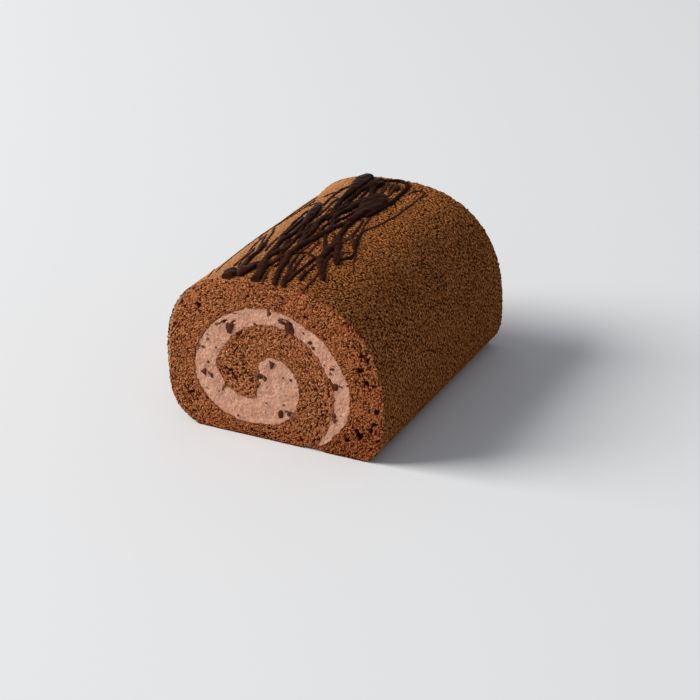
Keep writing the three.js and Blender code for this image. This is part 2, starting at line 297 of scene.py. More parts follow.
def varied(pair, place):
    mean, spread = pair
    return mean + spread * noise.noise(place)


def pitted(place, size, fineSize):
    # a wandering value: below zero is a pit, above is a raised crumb
    return noise.noise(place / size) + 0.55 * noise.noise(place / fineSize + Vector((31, 7, 19)))


def hollowness(value, pit):
    # 0 on the highest crumbs, the plain tone on the surface and 1 in a pit; the materials paint by it, with
    # painted highlight on the highest crumbs and painted shade in the pits
    return min(plainTone * (1 - clamp(value / 0.5)) + (1 - plainTone) * pit, 1)


def skinRelief(along, y, z):
    texture = skinTexture
    place = Vector((along, y, 0))
    place += texture["warp"] * noise.noise_vector(place * 0.8)
    value = pitted(place, texture["poreSize"], texture["fineSize"])
    calm = texture["calm"][0] + texture["calm"][1] * clamp(z / texture["calmBelow"])
    pit = ramp(-value, texture["poreFrom"], texture["poreRun"]) * varied(texture["poreShare"], place * 0.08)
    gaps, centres = noise.voronoi(place / texture["roundSpacing"])
    size = varied(texture["roundSize"], centres[0] * 3.7)
    pit = max(pit, clamp((size - gaps[0]) / texture["roundRun"])) * calm
    height = texture["lumps"] * noise.noise(place / texture["lumpSize"]) + texture["grain"] * value * calm
    return height - texture["poreDepth"] * pit, hollowness(value, pit)


def coarseness(x, z):
    extra = 0.0
    for spotX, spotZ, reach, amount in coarseSpots:
        extra += amount * max(0, 1 - math.hypot(x - spotX, z - spotZ) / reach)
    return 1 + extra


def crumbRelief(along, deep, x, y, z):
    texture = crumbTexture
    place = Vector((along * texture["stretch"], deep, y))
    place += texture["warp"] * noise.noise_vector(place * 0.7)
    value = pitted(place, texture["poreSize"], texture["fineSize"])
    coarse = coarseness(x, z)
    patch = varied(texture["poreShare"], place * 0.13) * coarse
    pit = ramp(-value, texture["poreFrom"], texture["poreRun"]) * patch
    split = noise.noise(Vector((place.x * 0.46, place.y * 1.75, place.z)) + Vector((0, 0, 40)))
    split = ramp(-split, texture["splitFrom"], texture["splitRun"]) * min(patch, 1.2)
    hollow = varied(texture["voidSize"], place * 0.21)
    gap = noise.voronoi(place / texture["voidSpacing"])[0][0] + 0.06 * value
    void = clamp(1 - gap / hollow) if hollow > 0.02 else 0.0
    height = (texture["lumps"] * coarse * noise.noise(place / texture["lumpSize"])
              + texture["grain"] * min(value, 0.5) - texture["poreDepth"] * pit
              - texture["voidDepth"] * void - texture["splitDepth"] * split)
    return height, hollowness(value, min(1, pit + void + split))


def paintedShadeAt(x, z):
    # painted shade: the crumb is painted darker and redder low down by the floor and towards the right, away
    # from the lamp, and darker along the top
    low = (crumbPaintedShade["foot"] * max(0, 1 - z / crumbPaintedShade["footHeight"])
           + crumbPaintedShade["lowRight"] * ramp(x, 22, 16) * ramp(z, 24, -14))
    right = crumbPaintedShade["right"] * ramp(x, 12, 40)
    top = crumbPaintedShade["top"] * ramp(z, 58, 12) * ramp(x, -26, 20)
    return min(low + right + top, 1)


def faceWave(x, z, side):
    # the slow unevenness that the knife leaves
    return crumbTexture["uneven"] * noise.noise(Vector((x * 0.06, z * 0.06, 7.3 * side)))


def edgeWander(x, z, side):
    # how sponge and cream wander along the line where they meet
    wanderX = wanderZ = 0.0
    for reach, pace, layer in borderWander:
        step = noise.noise_vector(Vector((x * pace, z * pace, layer * side)))
        wanderX += reach * step.x
        wanderZ += reach * step.z
    return wanderX, wanderZ


def poreFall(x, z, pores):
    # depth of the torn pores at a point of a cut face
    fall = 0.0
    for poreX, poreZ, width in pores:
        gap = math.hypot(x - poreX, z - poreZ)
        if gap < width:
            ragged = gap * varied((1, 0.5), Vector((x * 0.8, z * 0.8, poreX)))
            inside = 1 - (2 * ragged / width)**2
            if inside > 0:
                fall = max(fall, crumbTexture["tornDepth"] * width * math.sqrt(inside))
    return fall


def creamGap(line, deep, side):
    # over the left side the sponge has come away from the cream here and there
    turn = math.degrees(line["angle"]) % 360
    share = ramp(turn, 112, 20) * ramp(turn, 238, -20)
    patch = clamp(varied(crumbTexture["gapShare"], Vector((line["along"] * 0.22, 3, 17 * side))))
    return crumbTexture["gapDepth"] * share * patch * max(0, 1 - deep / crumbTexture["gapWidth"])


def rimLight(angle):
    # painted highlight: the skin's cut edge is painted as catching light on the left, a little at the upper
    # right, hardly at all elsewhere; the small share everywhere is its own paler colour
    turn = math.degrees(angle)
    upperRight = max(0, 1 - abs(turn - 38) / 30)
    return 0.1 + 0.9 * ramp(turn, 110, 40) + 0.3 * upperRight


def shoulderSheen(angle):
    # painted sheen: the skin is painted paler over the left shoulder, where it faces the lamp and is seen at
    # a grazing angle
    turn = math.degrees(angle)
    return 0.4 * ramp(turn, 98, 26) * ramp(turn, 200, -70)


# Steps that several pieces share
def deselectAll():
    bpy.ops.object.select_all(action="DESELECT")


def chooseOnly(pieces):
    deselectAll()
    for piece in pieces:
        piece.select_set(True)
    bpy.context.view_layer.objects.active = pieces[0]


def addGrid(name, columnCount, acrossCount):
    deselectAll()
    bpy.ops.mesh.primitive_grid_add(x_subdivisions=columnCount - 1, y_subdivisions=acrossCount)
    piece = bpy.context.object
    piece.name = name
    piece.data.name = name
    return piece


def drawBack(length):
    # merges what lies double in the flat section and draws it back to the other cut
    bpy.ops.object.mode_set(mode="EDIT")
    bpy.ops.mesh.select_all(action="SELECT")
    bpy.ops.mesh.remove_doubles(threshold=0.01 * mm)
    bpy.ops.mesh.select_all(action="SELECT")
    bpy.ops.mesh.extrude_region_move(TRANSFORM_OT_translate={"value": (0, length * mm, 0)})
    bpy.ops.mesh.select_all(action="SELECT")
    bpy.ops.mesh.normals_make_consistent(inside=False)
    bpy.ops.object.mode_set(mode="OBJECT")


def cutAway(point, direction):
    # takes off what lies past a plane and closes the cut
    bpy.ops.mesh.select_all(action="SELECT")
    bpy.ops.mesh.bisect(plane_co=point, plane_no=direction, use_fill=True, clear_outer=True)


def setValues(mesh, name, values):
    mesh.attributes.new(name, "FLOAT", "POINT").data.foreach_set("value", values)


def getValues(mesh, name):
    values = np.empty(len(mesh.vertices))
    mesh.attributes[name].data.foreach_get("value", values)
    return values


def smoothUpTo(piece, degrees):
    chooseOnly([piece])
    bpy.ops.object.shade_smooth_by_angle(angle=math.radians(degrees))


def claim(piece, node):
    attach(piece, "root")
    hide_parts(node)
    print(piece.name, "made,", len(piece.data.vertices), "points")


def sheetPiece(name, lines, rows, surfaces):
    # A length of the rolled sheet: its section is laid out flat at the front and drawn back
    # to the other cut, then the skin is divided finely. The last lines of the inner turn bow
    # out to the curl.
    acrossCount = roll["acrossCount"]
    piece = addGrid(name, len(lines), acrossCount)
    columns, shares = [], []
    for i, vertex in enumerate(piece.data.vertices):
        column, share = i % len(lines), (i // len(lines)) / acrossCount
        line = lines[column]
        point = line["inner"] * (1 - share) + line["outer"] * share
        bow = line.get("curl", 0)
        if bow:
            point = point * (1 - bow) + np.array(alongCurl(1 - share)) * bow
        vertex.co = toPlace(point, -roll["halfLength"])
        columns.append(column)
        shares.append(share)
    setValues(piece.data, "column", columns)
    setValues(piece.data, "across", shares)
    drawBack(2 * roll["halfLength"])
    if rows:
        firstCuts = 4
        divideSkin(piece, firstCuts)
        divideSkin(piece, round(rows / (firstCuts + 1)) - 1)
    shapeSurface(piece, lines)
    skinFaces(piece, surfaces)
    return piece


def divideSkin(piece, cuts):
    # cuts across the skin's edges that run lengthwise and are still long
    mesh = piece.data
    across, column = getValues(mesh, "across"), getValues(mesh, "column")
    places = np.empty(len(mesh.vertices) * 3)
    mesh.vertices.foreach_get("co", places)
    y = places.reshape(-1, 3)[:, 1]
    ends = np.empty(len(mesh.edges) * 2, dtype=int)
    mesh.edges.foreach_get("vertices", ends)
    a, b = ends.reshape(-1, 2).T
    lengthwise = np.minimum(across[a], across[b]) > roll["skinFrom"]
    lengthwise &= np.abs(column[a] - column[b]) < 0.01
    lengthwise &= np.abs(y[a] - y[b]) > roll["rowStep"] * 2 * mm
    bpy.ops.object.mode_set(mode="EDIT")
    bpy.ops.mesh.select_all(action="DESELECT")
    bpy.ops.mesh.select_mode(type="EDGE")
    bpy.ops.object.mode_set(mode="OBJECT")
    mesh.edges.foreach_set("select", lengthwise)
    bpy.ops.object.mode_set(mode="EDIT")
    bpy.ops.mesh.subdivide(number_cuts=cuts)
    bpy.ops.object.mode_set(mode="OBJECT")


def faceChange(line, share, toEnd, x, y, z):
    # a point of a cut face: how it moves, and its four tones
    texture = crumbTexture
    side = -1 if y < 0 else 1
    isSkin = line["kind"] == "skin"
    thickness = math.hypot(*(line["outer"] - line["inner"]))
    fromSkin = (1 - share) * thickness if isSkin else texture["farIn"]
    deep = share * thickness
    height, pore = crumbRelief(line["along"], deep, x, y, z)
    toCream = deep if isSkin else min(deep, thickness - deep, toEnd)
    soak = clamp(1 - toCream / texture["soakWidth"]
                 + texture["soakVaries"] * noise.noise(Vector((x * 0.6, z * 0.6, 5 * side))))
    height *= 1 - texture["soakFlattens"] * soak
    torn = poreFall(x, z, frontPores if side < 0 else backPores)
    if isSkin:
        torn = max(torn, creamGap(line, deep, side))
    rim = max(0, 1 - fromSkin / texture["rimWidth"])
    ragged = varied(texture["rimShare"], Vector((line["along"] * 0.9, fromSkin, 31 * side)))
    inward = -height + torn - faceWave(x, z, side) + texture["rimFall"] * rim * rim * ragged + texture["set"]
    inward += texture["footFall"] * max(0, 1 - z / texture["footHeight"])**2
    quiet = min(1, fromSkin / texture["wanderFrom"])
    wanderX, wanderZ = edgeWander(x, z, side)
    tones = {
        # painted shade: torn pores and gaps count as pits
        "pore": min(1, max(pore + (plainTone - pore) * 0.4 * soak, torn / 1.2)),
        # painted highlight along the cut edge, over its own paler colour
        "rim": rim * rimLight(line["angle"]),
        "soak": texture["soakMost"] * soak,
        # painted shade low down, towards the right and along the top
        "paintedShade": paintedShadeAt(x, z),
    }
    return [quiet * wanderX, -side * max(inward, -texture["proud"]), quiet * wanderZ], tones


def shapeSurface(piece, columns):
    mesh = piece.data
    texture = skinTexture
    count = len(mesh.vertices)
    places = np.empty(count * 3)
    mesh.vertices.foreach_get("co", places)
    places = places.reshape(-1, 3) / mm
    across, column = getValues(mesh, "across"), getValues(mesh, "column")
    tones = {"pore": np.full(count, plainTone), "rim": np.zeros(count), "soak": np.zeros(count),
             "paintedShade": np.zeros(count)}
    for i in range(count):
        x, y, z = places[i]
        x -= sideShift
        line = columns[min(int(column[i] + 0.5), len(columns) - 1)]
        onSkin = line["kind"] == "skin" and across[i] > roll["skinFrom"]
        fromEnd = roll["halfLength"] - abs(y)
        onFace = fromEnd < 0.01
        move = [0.0, 0.0, 0.0]
        if onFace:
            toEnd = (len(columns) - 1 - column[i]) * roll["columnStep"]
            move, faceTones = faceChange(line, across[i], toEnd, x, y, z)
            for name, tone in faceTones.items():
                tones[name][i] = tone
        if onSkin:
            height, pore = skinRelief(line["along"], y, z)
            nearEnd = max(0, 1 - fromEnd / texture["endWidth"])
            height += texture["endLumps"] * nearEnd * noise.noise(Vector((line["along"] * 0.85, y * 0.6, 3)))
            height += skinSwell(line["angle"], y, z)
            move[0] += line["normal"][0] * height
            move[2] += line["normal"][1] * height
            if not onFace:
                tones["pore"][i] = pore
                # painted sheen over the left shoulder
                tones["rim"][i] = shoulderSheen(line["angle"])
                # painted shade on the flanks below the crown
                tones["paintedShade"][i] = (texture["paintedShade"] * ramp(z, *texture["paintedShadeFade"])
                                    * min(z / texture["paintedShadeFoot"], 1))
        moved = places[i] + move
        places[i] = (moved[0], moved[1], max(moved[2], 0.02 * across[i] if onSkin else moved[2]))
    mesh.vertices.foreach_set("co", (places * mm).ravel())
    for name, values in tones.items():
        setValues(mesh, name, values)
    mesh.update()


def skinFaces(piece, surfaces):
    mesh = piece.data
    for surface in surfaces:
        mesh.materials.append(surface)
    across = getValues(mesh, "across")
    for face in mesh.polygons:
        corners = face.vertices
        isSkin = len(corners) < 5 and all(across[corner] > roll["skinFrom"] for corner in corners)
        face.material_index = 1 if isSkin else 0
    smoothUpTo(piece, 55)


def evenShading(pieces):
    # where two lengths of the sheet meet, both take the mean of their normals
    gathered, corners = {}, []
    for piece in pieces:
        mesh = piece.data
        column = getValues(mesh, "column")
        border = (column < 0.5) | (column > column.max() - 0.5)
        vertexOf = np.empty(len(mesh.loops), dtype=int)
        mesh.loops.foreach_get("vertex_index", vertexOf)
        for face in mesh.polygons:
            atBorder = [loop for loop in face.loop_indices if border[vertexOf[loop]]]
            isWall = len(atBorder) == face.loop_total
            if not atBorder or isWall or not (face.material_index or abs(face.normal.y) > 0.3):
                continue
            surface = face.material_index or 3 + int(math.copysign(1, face.normal.y))
            for loop in atBorder:
                key = (surface, *(round(value, 7) for value in mesh.vertices[vertexOf[loop]].co))
                gathered[key] = gathered.get(key, Vector()) + face.normal * face.area
                corners.append((piece.name, loop, key))
    for piece in pieces:
        normals = np.zeros((len(piece.data.loops), 3))
        for name, loop, key in corners:
            if name == piece.name:
                normals[loop] = gathered[key].normalized()
        piece.data.normals_split_custom_set(normals)


# Materials
def newMaterial(name, roughness, specular):
    material = bpy.data.materials.new(name)
    material.use_nodes = True
    shader = material.node_tree.nodes["Principled BSDF"]
    shader.inputs["Roughness"].default_value = roughness
    shader.inputs["Specular IOR Level"].default_value = specular
    return material, shader


def addNode(material, kind, **inputs):
    node = material.node_tree.nodes.new(kind)
    for key, value in inputs.items():
        node.inputs[key.replace("_", " ")].default_value = value
    return node


def link(material, output, target):
    material.node_tree.links.new(output, target)


def noiseOutput(material, scale, detail=3.0, roughness=0.55):
    coordinates = addNode(material, "ShaderNodeTexCoord")
    node = addNode(material, "ShaderNodeTexNoise", Scale=scale, Detail=detail, Roughness=roughness)
    link(material, coordinates.outputs["Object"], node.inputs["Vector"])
    return node.outputs["Fac"]


def rampOutput(material, source, stops):
    node = addNode(material, "ShaderNodeValToRGB")
    elements = node.color_ramp.elements
    while len(elements) < len(stops):
        elements.new(0.5)
    for element, (position, colour) in zip(elements, stops):
        element.position = position
        element.color = (*colour, 1)
    link(material, source, node.inputs["Fac"])
    return node.outputs["Color"]


def mixOutput(material, blend, factor, first, second):
    node = material.node_tree.nodes.new("ShaderNodeMix")
    node.data_type = "RGBA"
    node.blend_type = blend
    if isinstance(factor, float):
        node.inputs[0].default_value = factor
    else:
        link(material, factor, node.inputs[0])
    for value, target in ((first, node.inputs[6]), (second, node.inputs[7])):
        if isinstance(value, tuple):
            target.default_value = (*value, 1)
        else:
            link(material, value, target)
    return node.outputs[2]


def bumpNode(material, shader, source, strength, distance):
    node = addNode(material, "ShaderNodeBump", Strength=strength, Distance=distance)
    link(material, source, node.inputs["Height"])
    link(material, node.outputs["Normal"], shader.inputs["Normal"])


def attributeOutput(material, name):
    node = addNode(material, "ShaderNodeAttribute")
    node.attribute_name = name
    return node.outputs["Fac"]


# The sponge's finishes. "stops" place ridge, body, hollow and pit on the pore attribute, painting the ridges
# pale as painted highlight and the hollows and pits dark as painted shade. "grain" is a pattern of single
# crumbs that multiplies the colour, paler where the bump raises it as painted highlight and darker between as
# painted shade, and "bump" is its strength and distance.
crumbFinish = {
    "ridge": (0.44, 0.167, 0.067), "body": (0.36, 0.116, 0.0425), "hollow": (0.19, 0.048, 0.013),
    # the rim colour is partly the cut edge's own paler colour and partly painted highlight where the edge
    # faces the lamp
    "pit": (0.04, 0.008, 0.0025), "rim": (0.5, 0.25, 0.115), "soak": (0.235, 0.074, 0.037),
    # the colour that multiplies in low down and to the right is painted shade
    "paintedShade": (0.72, 0.6, 0.52), "stops": (0.0, plainTone, 0.56, 0.85),
    "grainScale": 1750.0, "broadScale": 60.0, "bump": (0.9, 0.0005),
    "grain": [(0.37, (0.17, 0.09, 0.05)), (0.44, (0.88, 0.85, 0.82)), (0.56, (1.11, 1.15, 1.18)),
              (0.64, (1.95, 2.35, 2.75))],
}
innerCrumbFinish = {
    **crumbFinish,
    "ridge": (0.43, 0.169, 0.069), "body": (0.35, 0.1185, 0.0445), "hollow": (0.175, 0.047, 0.013),
    # as on the front crumb, the colour that multiplies in is painted shade
    "pit": (0.04, 0.009, 0.0025), "soak": (0.235, 0.076, 0.038), "paintedShade": (0.78, 0.66, 0.58),
}
skinFinish = {
    "ridge": (0.335, 0.132, 0.044), "body": (0.24, 0.08, 0.0205), "hollow": (0.12, 0.034, 0.0075),
    # here the rim colour is the painted sheen over the left shoulder
    "pit": (0.02, 0.0045, 0.001), "rim": (0.42, 0.227, 0.105), "soak": (0.2, 0.07, 0.02),
    # painted shade multiplied into the skin's flanks
    "paintedShade": (0.8, 0.8, 0.8), "stops": (0.0, plainTone, 0.46, 0.62),
    "grainScale": 1400.0, "broadScale": 35.0, "bump": (0.8, 0.0004),
    "grain": [(0.37, (0.25, 0.17, 0.1)), (0.47, (0.88, 0.86, 0.83)), (0.54, (1.16, 1.2, 1.24)),
              (0.63, (2.1, 2.4, 2.7))],
}
creamFinish = {
    "shade": (0.42, 0.19, 0.12), "cream": (0.515, 0.25, 0.155), "light": (0.63, 0.355, 0.243),
    # the hollow colour is painted shade in bubbles and cracks, the edge colour painted shade beside the
    # sponge
    "speck": (0.17, 0.05, 0.03), "hollow": (0.2, 0.075, 0.045), "edge": (0.37, 0.15, 0.085),
    "fleck": (0.9, 0.62, 0.45), "broadScale": 170.0, "grainScale": 1900.0, "speckScale": 1150.0,
    "grain": [(0.36, (0.79, 0.75, 0.72)), (0.5, (1, 1, 1)), (0.64, (1.15, 1.19, 1.22))],
    "glow": 0.15, "glowReach": (0.003, 0.0015, 0.001), "bump": (0.35, 0.0004), "bumpScale": 900.0,
}
chocolateFinishes = {       # dark, light, roughness, specular
    "setChocolate": ((0.0122, 0.0038, 0.0016), (0.023, 0.0076, 0.0033), 0.32, 0.013),
    "threadChocolate": ((0.034, 0.0105, 0.0055), (0.062, 0.02, 0.0105), 0.4, 0.02),
    "chipChocolate": ((0.046, 0.0105, 0.005), (0.115, 0.033, 0.018), 0.5, 0.03),
    "speckChocolate": ((0.12, 0.034, 0.02), (0.21, 0.078, 0.05), 0.7, 0.02),
}
thinChocolate = (1.75, 1.5, 1.4)    # how much lighter the trails get towards the front
black, white = (0, 0, 0), (1, 1, 1)


def spongeMaterial(name, finish):
    # painted shade and highlight: the pore attribute darkens the hollows and pits and lightens the ridges,
    # and fine grain lightens single crumbs where the bump raises them and darkens the grain between
    material, shader = newMaterial(name, 1.0, 0.01)
    pore = attributeOutput(material, "pore")
    tones = [finish[tone] for tone in ("ridge", "body", "hollow", "pit")]
    colour = rampOutput(material, pore, list(zip(finish["stops"], tones)))
    fine = noiseOutput(material, finish["grainScale"], 4.0, 0.65)
    colour = mixOutput(material, "MULTIPLY", 1.0, colour, rampOutput(material, fine, finish["grain"]))
    broad = noiseOutput(material, finish["broadScale"], 3.0)
    patches = rampOutput(material, broad, [(0.3, (0.93, 0.92, 0.91)), (0.7, (1.07, 1.07, 1.07))])
    colour = mixOutput(material, "MULTIPLY", 1.0, colour, patches)
    # rim mixes in the paler cut edge and painted highlight (painted sheen on the skin), soak mixes in the
    # cream that has soaked in, and the last multiplies in painted shade
    for tone, blend in (("rim", "MIX"), ("soak", "MIX"), ("paintedShade", "MULTIPLY")):
        colour = mixOutput(material, blend, attributeOutput(material, tone), colour, finish[tone])
    link(material, colour, shader.inputs["Base Color"])
    bumpNode(material, shader, fine, *finish["bump"])
    return material


def creamMaterial(name, finish):
    # dark specks and pale flecks of crumb lie mostly near the sponge, where they are strewn
    material, shader = newMaterial(name, 0.6, 0.35)
    broad = noiseOutput(material, finish["broadScale"], 5.0, 0.7)
    colour = rampOutput(material, broad,
                        [(0.3, finish["shade"]), (0.5, finish["cream"]), (0.72, finish["light"])])
    fine = noiseOutput(material, finish["grainScale"], 3.0, 0.6)
    colour = mixOutput(material, "MULTIPLY", 1.0, colour, rampOutput(material, fine, finish["grain"]))
    specks = noiseOutput(material, finish["speckScale"], 2.0)
    strewn = rampOutput(material, attributeOutput(material, "strewn"), [(0.0, (0.2, 0.2, 0.2)), (0.9, white)])
    for tone, stops in (("speck", [(0.31, white), (0.37, black)]), ("fleck", [(0.67, black), (0.73, white)])):
        share = mixOutput(material, "MULTIPLY", 1.0, rampOutput(material, specks, stops), strewn)
        colour = mixOutput(material, "MIX", share, colour, finish[tone])
    # painted shade: darker along the edge by the sponge and in the bubbles and cracks
    colour = mixOutput(material, "MIX", attributeOutput(material, "edge"), colour, finish["edge"])
    colour = mixOutput(material, "MIX", attributeOutput(material, "pore"), colour, finish["hollow"])
    link(material, colour, shader.inputs["Base Color"])
    shader.inputs["Subsurface Weight"].default_value = finish["glow"]
    shader.inputs["Subsurface Radius"].default_value = finish["glowReach"]
    bumpNode(material, shader, noiseOutput(material, finish["bumpScale"], 4.0), *finish["bump"])
    return material


def chocolateMaterial(name, dark, light, roughness, specular):
    material, shader = newMaterial(name, roughness, specular)
    body = rampOutput(material, noiseOutput(material, 220.0, 3.0), [(0.35, dark), (0.7, light)])
    thinned = mixOutput(material, "MULTIPLY", attributeOutput(material, "front"), body, thinChocolate)
    link(material, thinned, shader.inputs["Base Color"])
    bumpNode(material, shader, noiseOutput(material, 700.0, 3.0), 0.15, 0.0004)
    return material


crumb = spongeMaterial("spongeCrumb", crumbFinish)
innerCrumb = spongeMaterial("spongeCrumbInner", innerCrumbFinish)
skin = spongeMaterial("spongeSkin", skinFinish)
creamSurface = creamMaterial("chocolateCream", creamFinish)
chocolate, threadChocolate, chipChocolate, speckChocolate = [
    chocolateMaterial(name, *finish) for name, finish in chocolateFinishes.items()]
print("materials made")


# The sponge sheet
columns, lastLine = sheetColumns()
firstInside = next(i for i, line in enumerate(columns) if line["kind"] != "skin")
rows = round(2 * roll["halfLength"] / roll["rowStep"])
sectorNames = ["sheetLowRight", "sheetRight", "sheetCrown", "sheetLeft", "sheetLowLeft", "sheetBase"]
borders = np.linspace(0, firstInside, len(sectorNames) + 1).astype(int)
print("sheet laid out in", len(columns), "columns,", firstInside, "of them skin, and", rows, "rows")
sheetPieces = []
for name, start, stop in zip(sectorNames, borders[:-1], borders[1:]):
    piece = sheetPiece(name, columns[start:stop + 1], rows, [crumb, skin])
    claim(piece, "sponge")
    sheetPieces.append(piece)
evenShading(sheetPieces)


def innerTurn():
    # the lines past the seam, and those of the rounded start
    inner, outer = lastLine
    lines = list(columns[firstInside:])
    along = lines[-1]["along"]
    for i in range(1, roll["curlCount"] + 1):
        lines.append({"inner": inner, "outer": outer, "angle": 0, "kind": "inside", "normal": np.zeros(2),
                      "along": along + i * roll["columnStep"], "curl": i / roll["curlCount"]})
    return lines


claim(sheetPiece("sheetInnerTurn", innerTurn(), 0, [innerCrumb, skin]), "sponge")


# The cream
creamShape = {
    "columnStep": 0.38, "acrossCount": 38,
    "turns": (-50, 520),        # degrees from the outer end to the inner
    "curlFrom": 168,            # past this angle the cream runs round the sheet's curl
    "recess": 0.35,             # how far it lies behind the sponge's cut faces
    "soft": [(0.3, 0.22), (0.2, 0.7), (0.1, 1.5)],      # lumps: height, pace
    # bubbles and cracks are also painted dark, as painted shade in their hollows
    "bubble": 0.45, "bubbleSize": (0.12, 0.14), "bubblePace": 0.45, "bubbleTone": 0.4,
    "crackDepth": 0.9,
    # painted shade: the cream is painted darker beside the sponge
    "edgeWidth": 1.1, "edgeTone": 0.28,                 # darker beside the sponge
    "strewnWidth": 2.6,
}
creamCracks = [     # x, z points of each crack in the front face, and its width
    ([(-26.2, 59.4), (-24, 60.3), (-21.4, 60.4), (-19, 60.6)], 0.5),
    ([(-27.6, 53.6), (-26.2, 54.8), (-24.8, 56), (-23.6, 56.8)], 0.6),
    ([(-21.6, 55.4), (-19.8, 56.6)], 0.6),
    ([(4, 62.4), (6.4, 61.8), (9, 60.6)], 0.7),
    ([(-8.2, 33.8), (-7, 31.6), (-4.4, 31)], 0.8),
    ([(5, 16.6), (8, 16.2), (10.2, 14.6)], 0.7),
    ([(-2.6, 66.4), (-2.2, 63.4)], 0.7),
    ([(24, 40), (27.4, 37.6), (29, 35)], 0.6),
]
curlShares = [(168, 0), (205, 0.28), (250, 0.56), (290, 0.68), (400, 0.84), (520, 1)]   # angle, way round it


def creamLines():
    fine = []
    first, last = creamShape["turns"]
    for degrees in np.arange(first, last + 0.01, 0.1):
        outer = polarPoint(creamOuterPath, degrees)
        if degrees < creamShape["curlFrom"]:
            inner = polarPoint(creamInnerPath, degrees)
        else:
            inner = alongCurl(float(np.interp(degrees, *zip(*curlShares))))
        fine.append((np.array(inner), np.array(outer)))
    lines, travelled, wanted = [], 0.0, 0.0
    for before, line in zip([fine[0]] + fine, fine):
        travelled += math.hypot(*(line[1] - before[1]))
        if travelled >= wanted:
            lines.append(line)
            wanted += creamShape["columnStep"]
    lines[-1] = fine[-1]
    return lines


def crackFall(x, z):
    # how far the cream is opened along its cracks
    fall = 0.0
    x += 0.5 * noise.noise(Vector((x * 0.9, z * 0.9, 2)))
    for points, width in creamCracks:
        for (x1, z1), (x2, z2) in zip(points, points[1:]):
            run = (x2 - x1)**2 + (z2 - z1)**2
            share = clamp(((x - x1) * (x2 - x1) + (z - z1) * (z2 - z1)) / run)
            gap = math.hypot(x - x1 - share * (x2 - x1), z - z1 - share * (z2 - z1))
            fall = max(fall, 1 - gap / width)
    return fall


def creamPiece(name):
    shape = creamShape
    lines = creamLines()
    piece = addGrid(name, len(lines), shape["acrossCount"])
    half = roll["halfLength"] - shape["recess"]
    edges, strewn, pores = [], [], []
    for i, vertex in enumerate(piece.data.vertices):
        inner, outer = lines[i % len(lines)]
        share = (i // len(lines)) / shape["acrossCount"]
        vertex.co = toPlace(inner * (1 - share) + outer * share, -half)
        fromEdge = min(share, 1 - share) * math.hypot(*(outer - inner))
        # painted shade beside the sponge
        edges.append(shape["edgeTone"] * max(0, 1 - fromEdge / shape["edgeWidth"]))
        strewn.append(max(0, 1 - fromEdge / shape["strewnWidth"]))
    setValues(piece.data, "edge", edges)
    setValues(piece.data, "strewn", strewn)
    drawBack(2 * half)
    for vertex in piece.data.vertices:
        x, y, z = vertex.co.x / mm - sideShift, vertex.co.y / mm, vertex.co.z / mm
        side = -1 if y < 0 else 1
        wanderX, wanderZ = edgeWander(x, z, side)
        place = Vector((x, y, z))
        soft = sum(height * noise.noise(place * pace) for height, pace in shape["soft"])
        size = varied(shape["bubbleSize"], place * 0.3)
        gap = noise.voronoi(place * shape["bubblePace"] + Vector((0, 0, 5)))[0][0]
        bubble = clamp((1 - gap / size) * 1.6) if size > 0.03 else 0.0
        crack = clamp(crackFall(x, z) * 1.5) if side < 0 else 0.0
        # painted shade in the bubbles and cracks
        pores.append(max(shape["bubbleTone"] * bubble, crack))
        outward = faceWave(x, z, side) + soft - shape["bubble"] * bubble - shape["crackDepth"] * crack
        vertex.co = toPlace((x + wanderX, z + wanderZ), y + side * outward)
    setValues(piece.data, "pore", pores)
    piece.data.materials.append(creamSurface)
    smoothUpTo(piece, 50)
    return piece


claim(creamPiece("creamSpiral"), "cream")


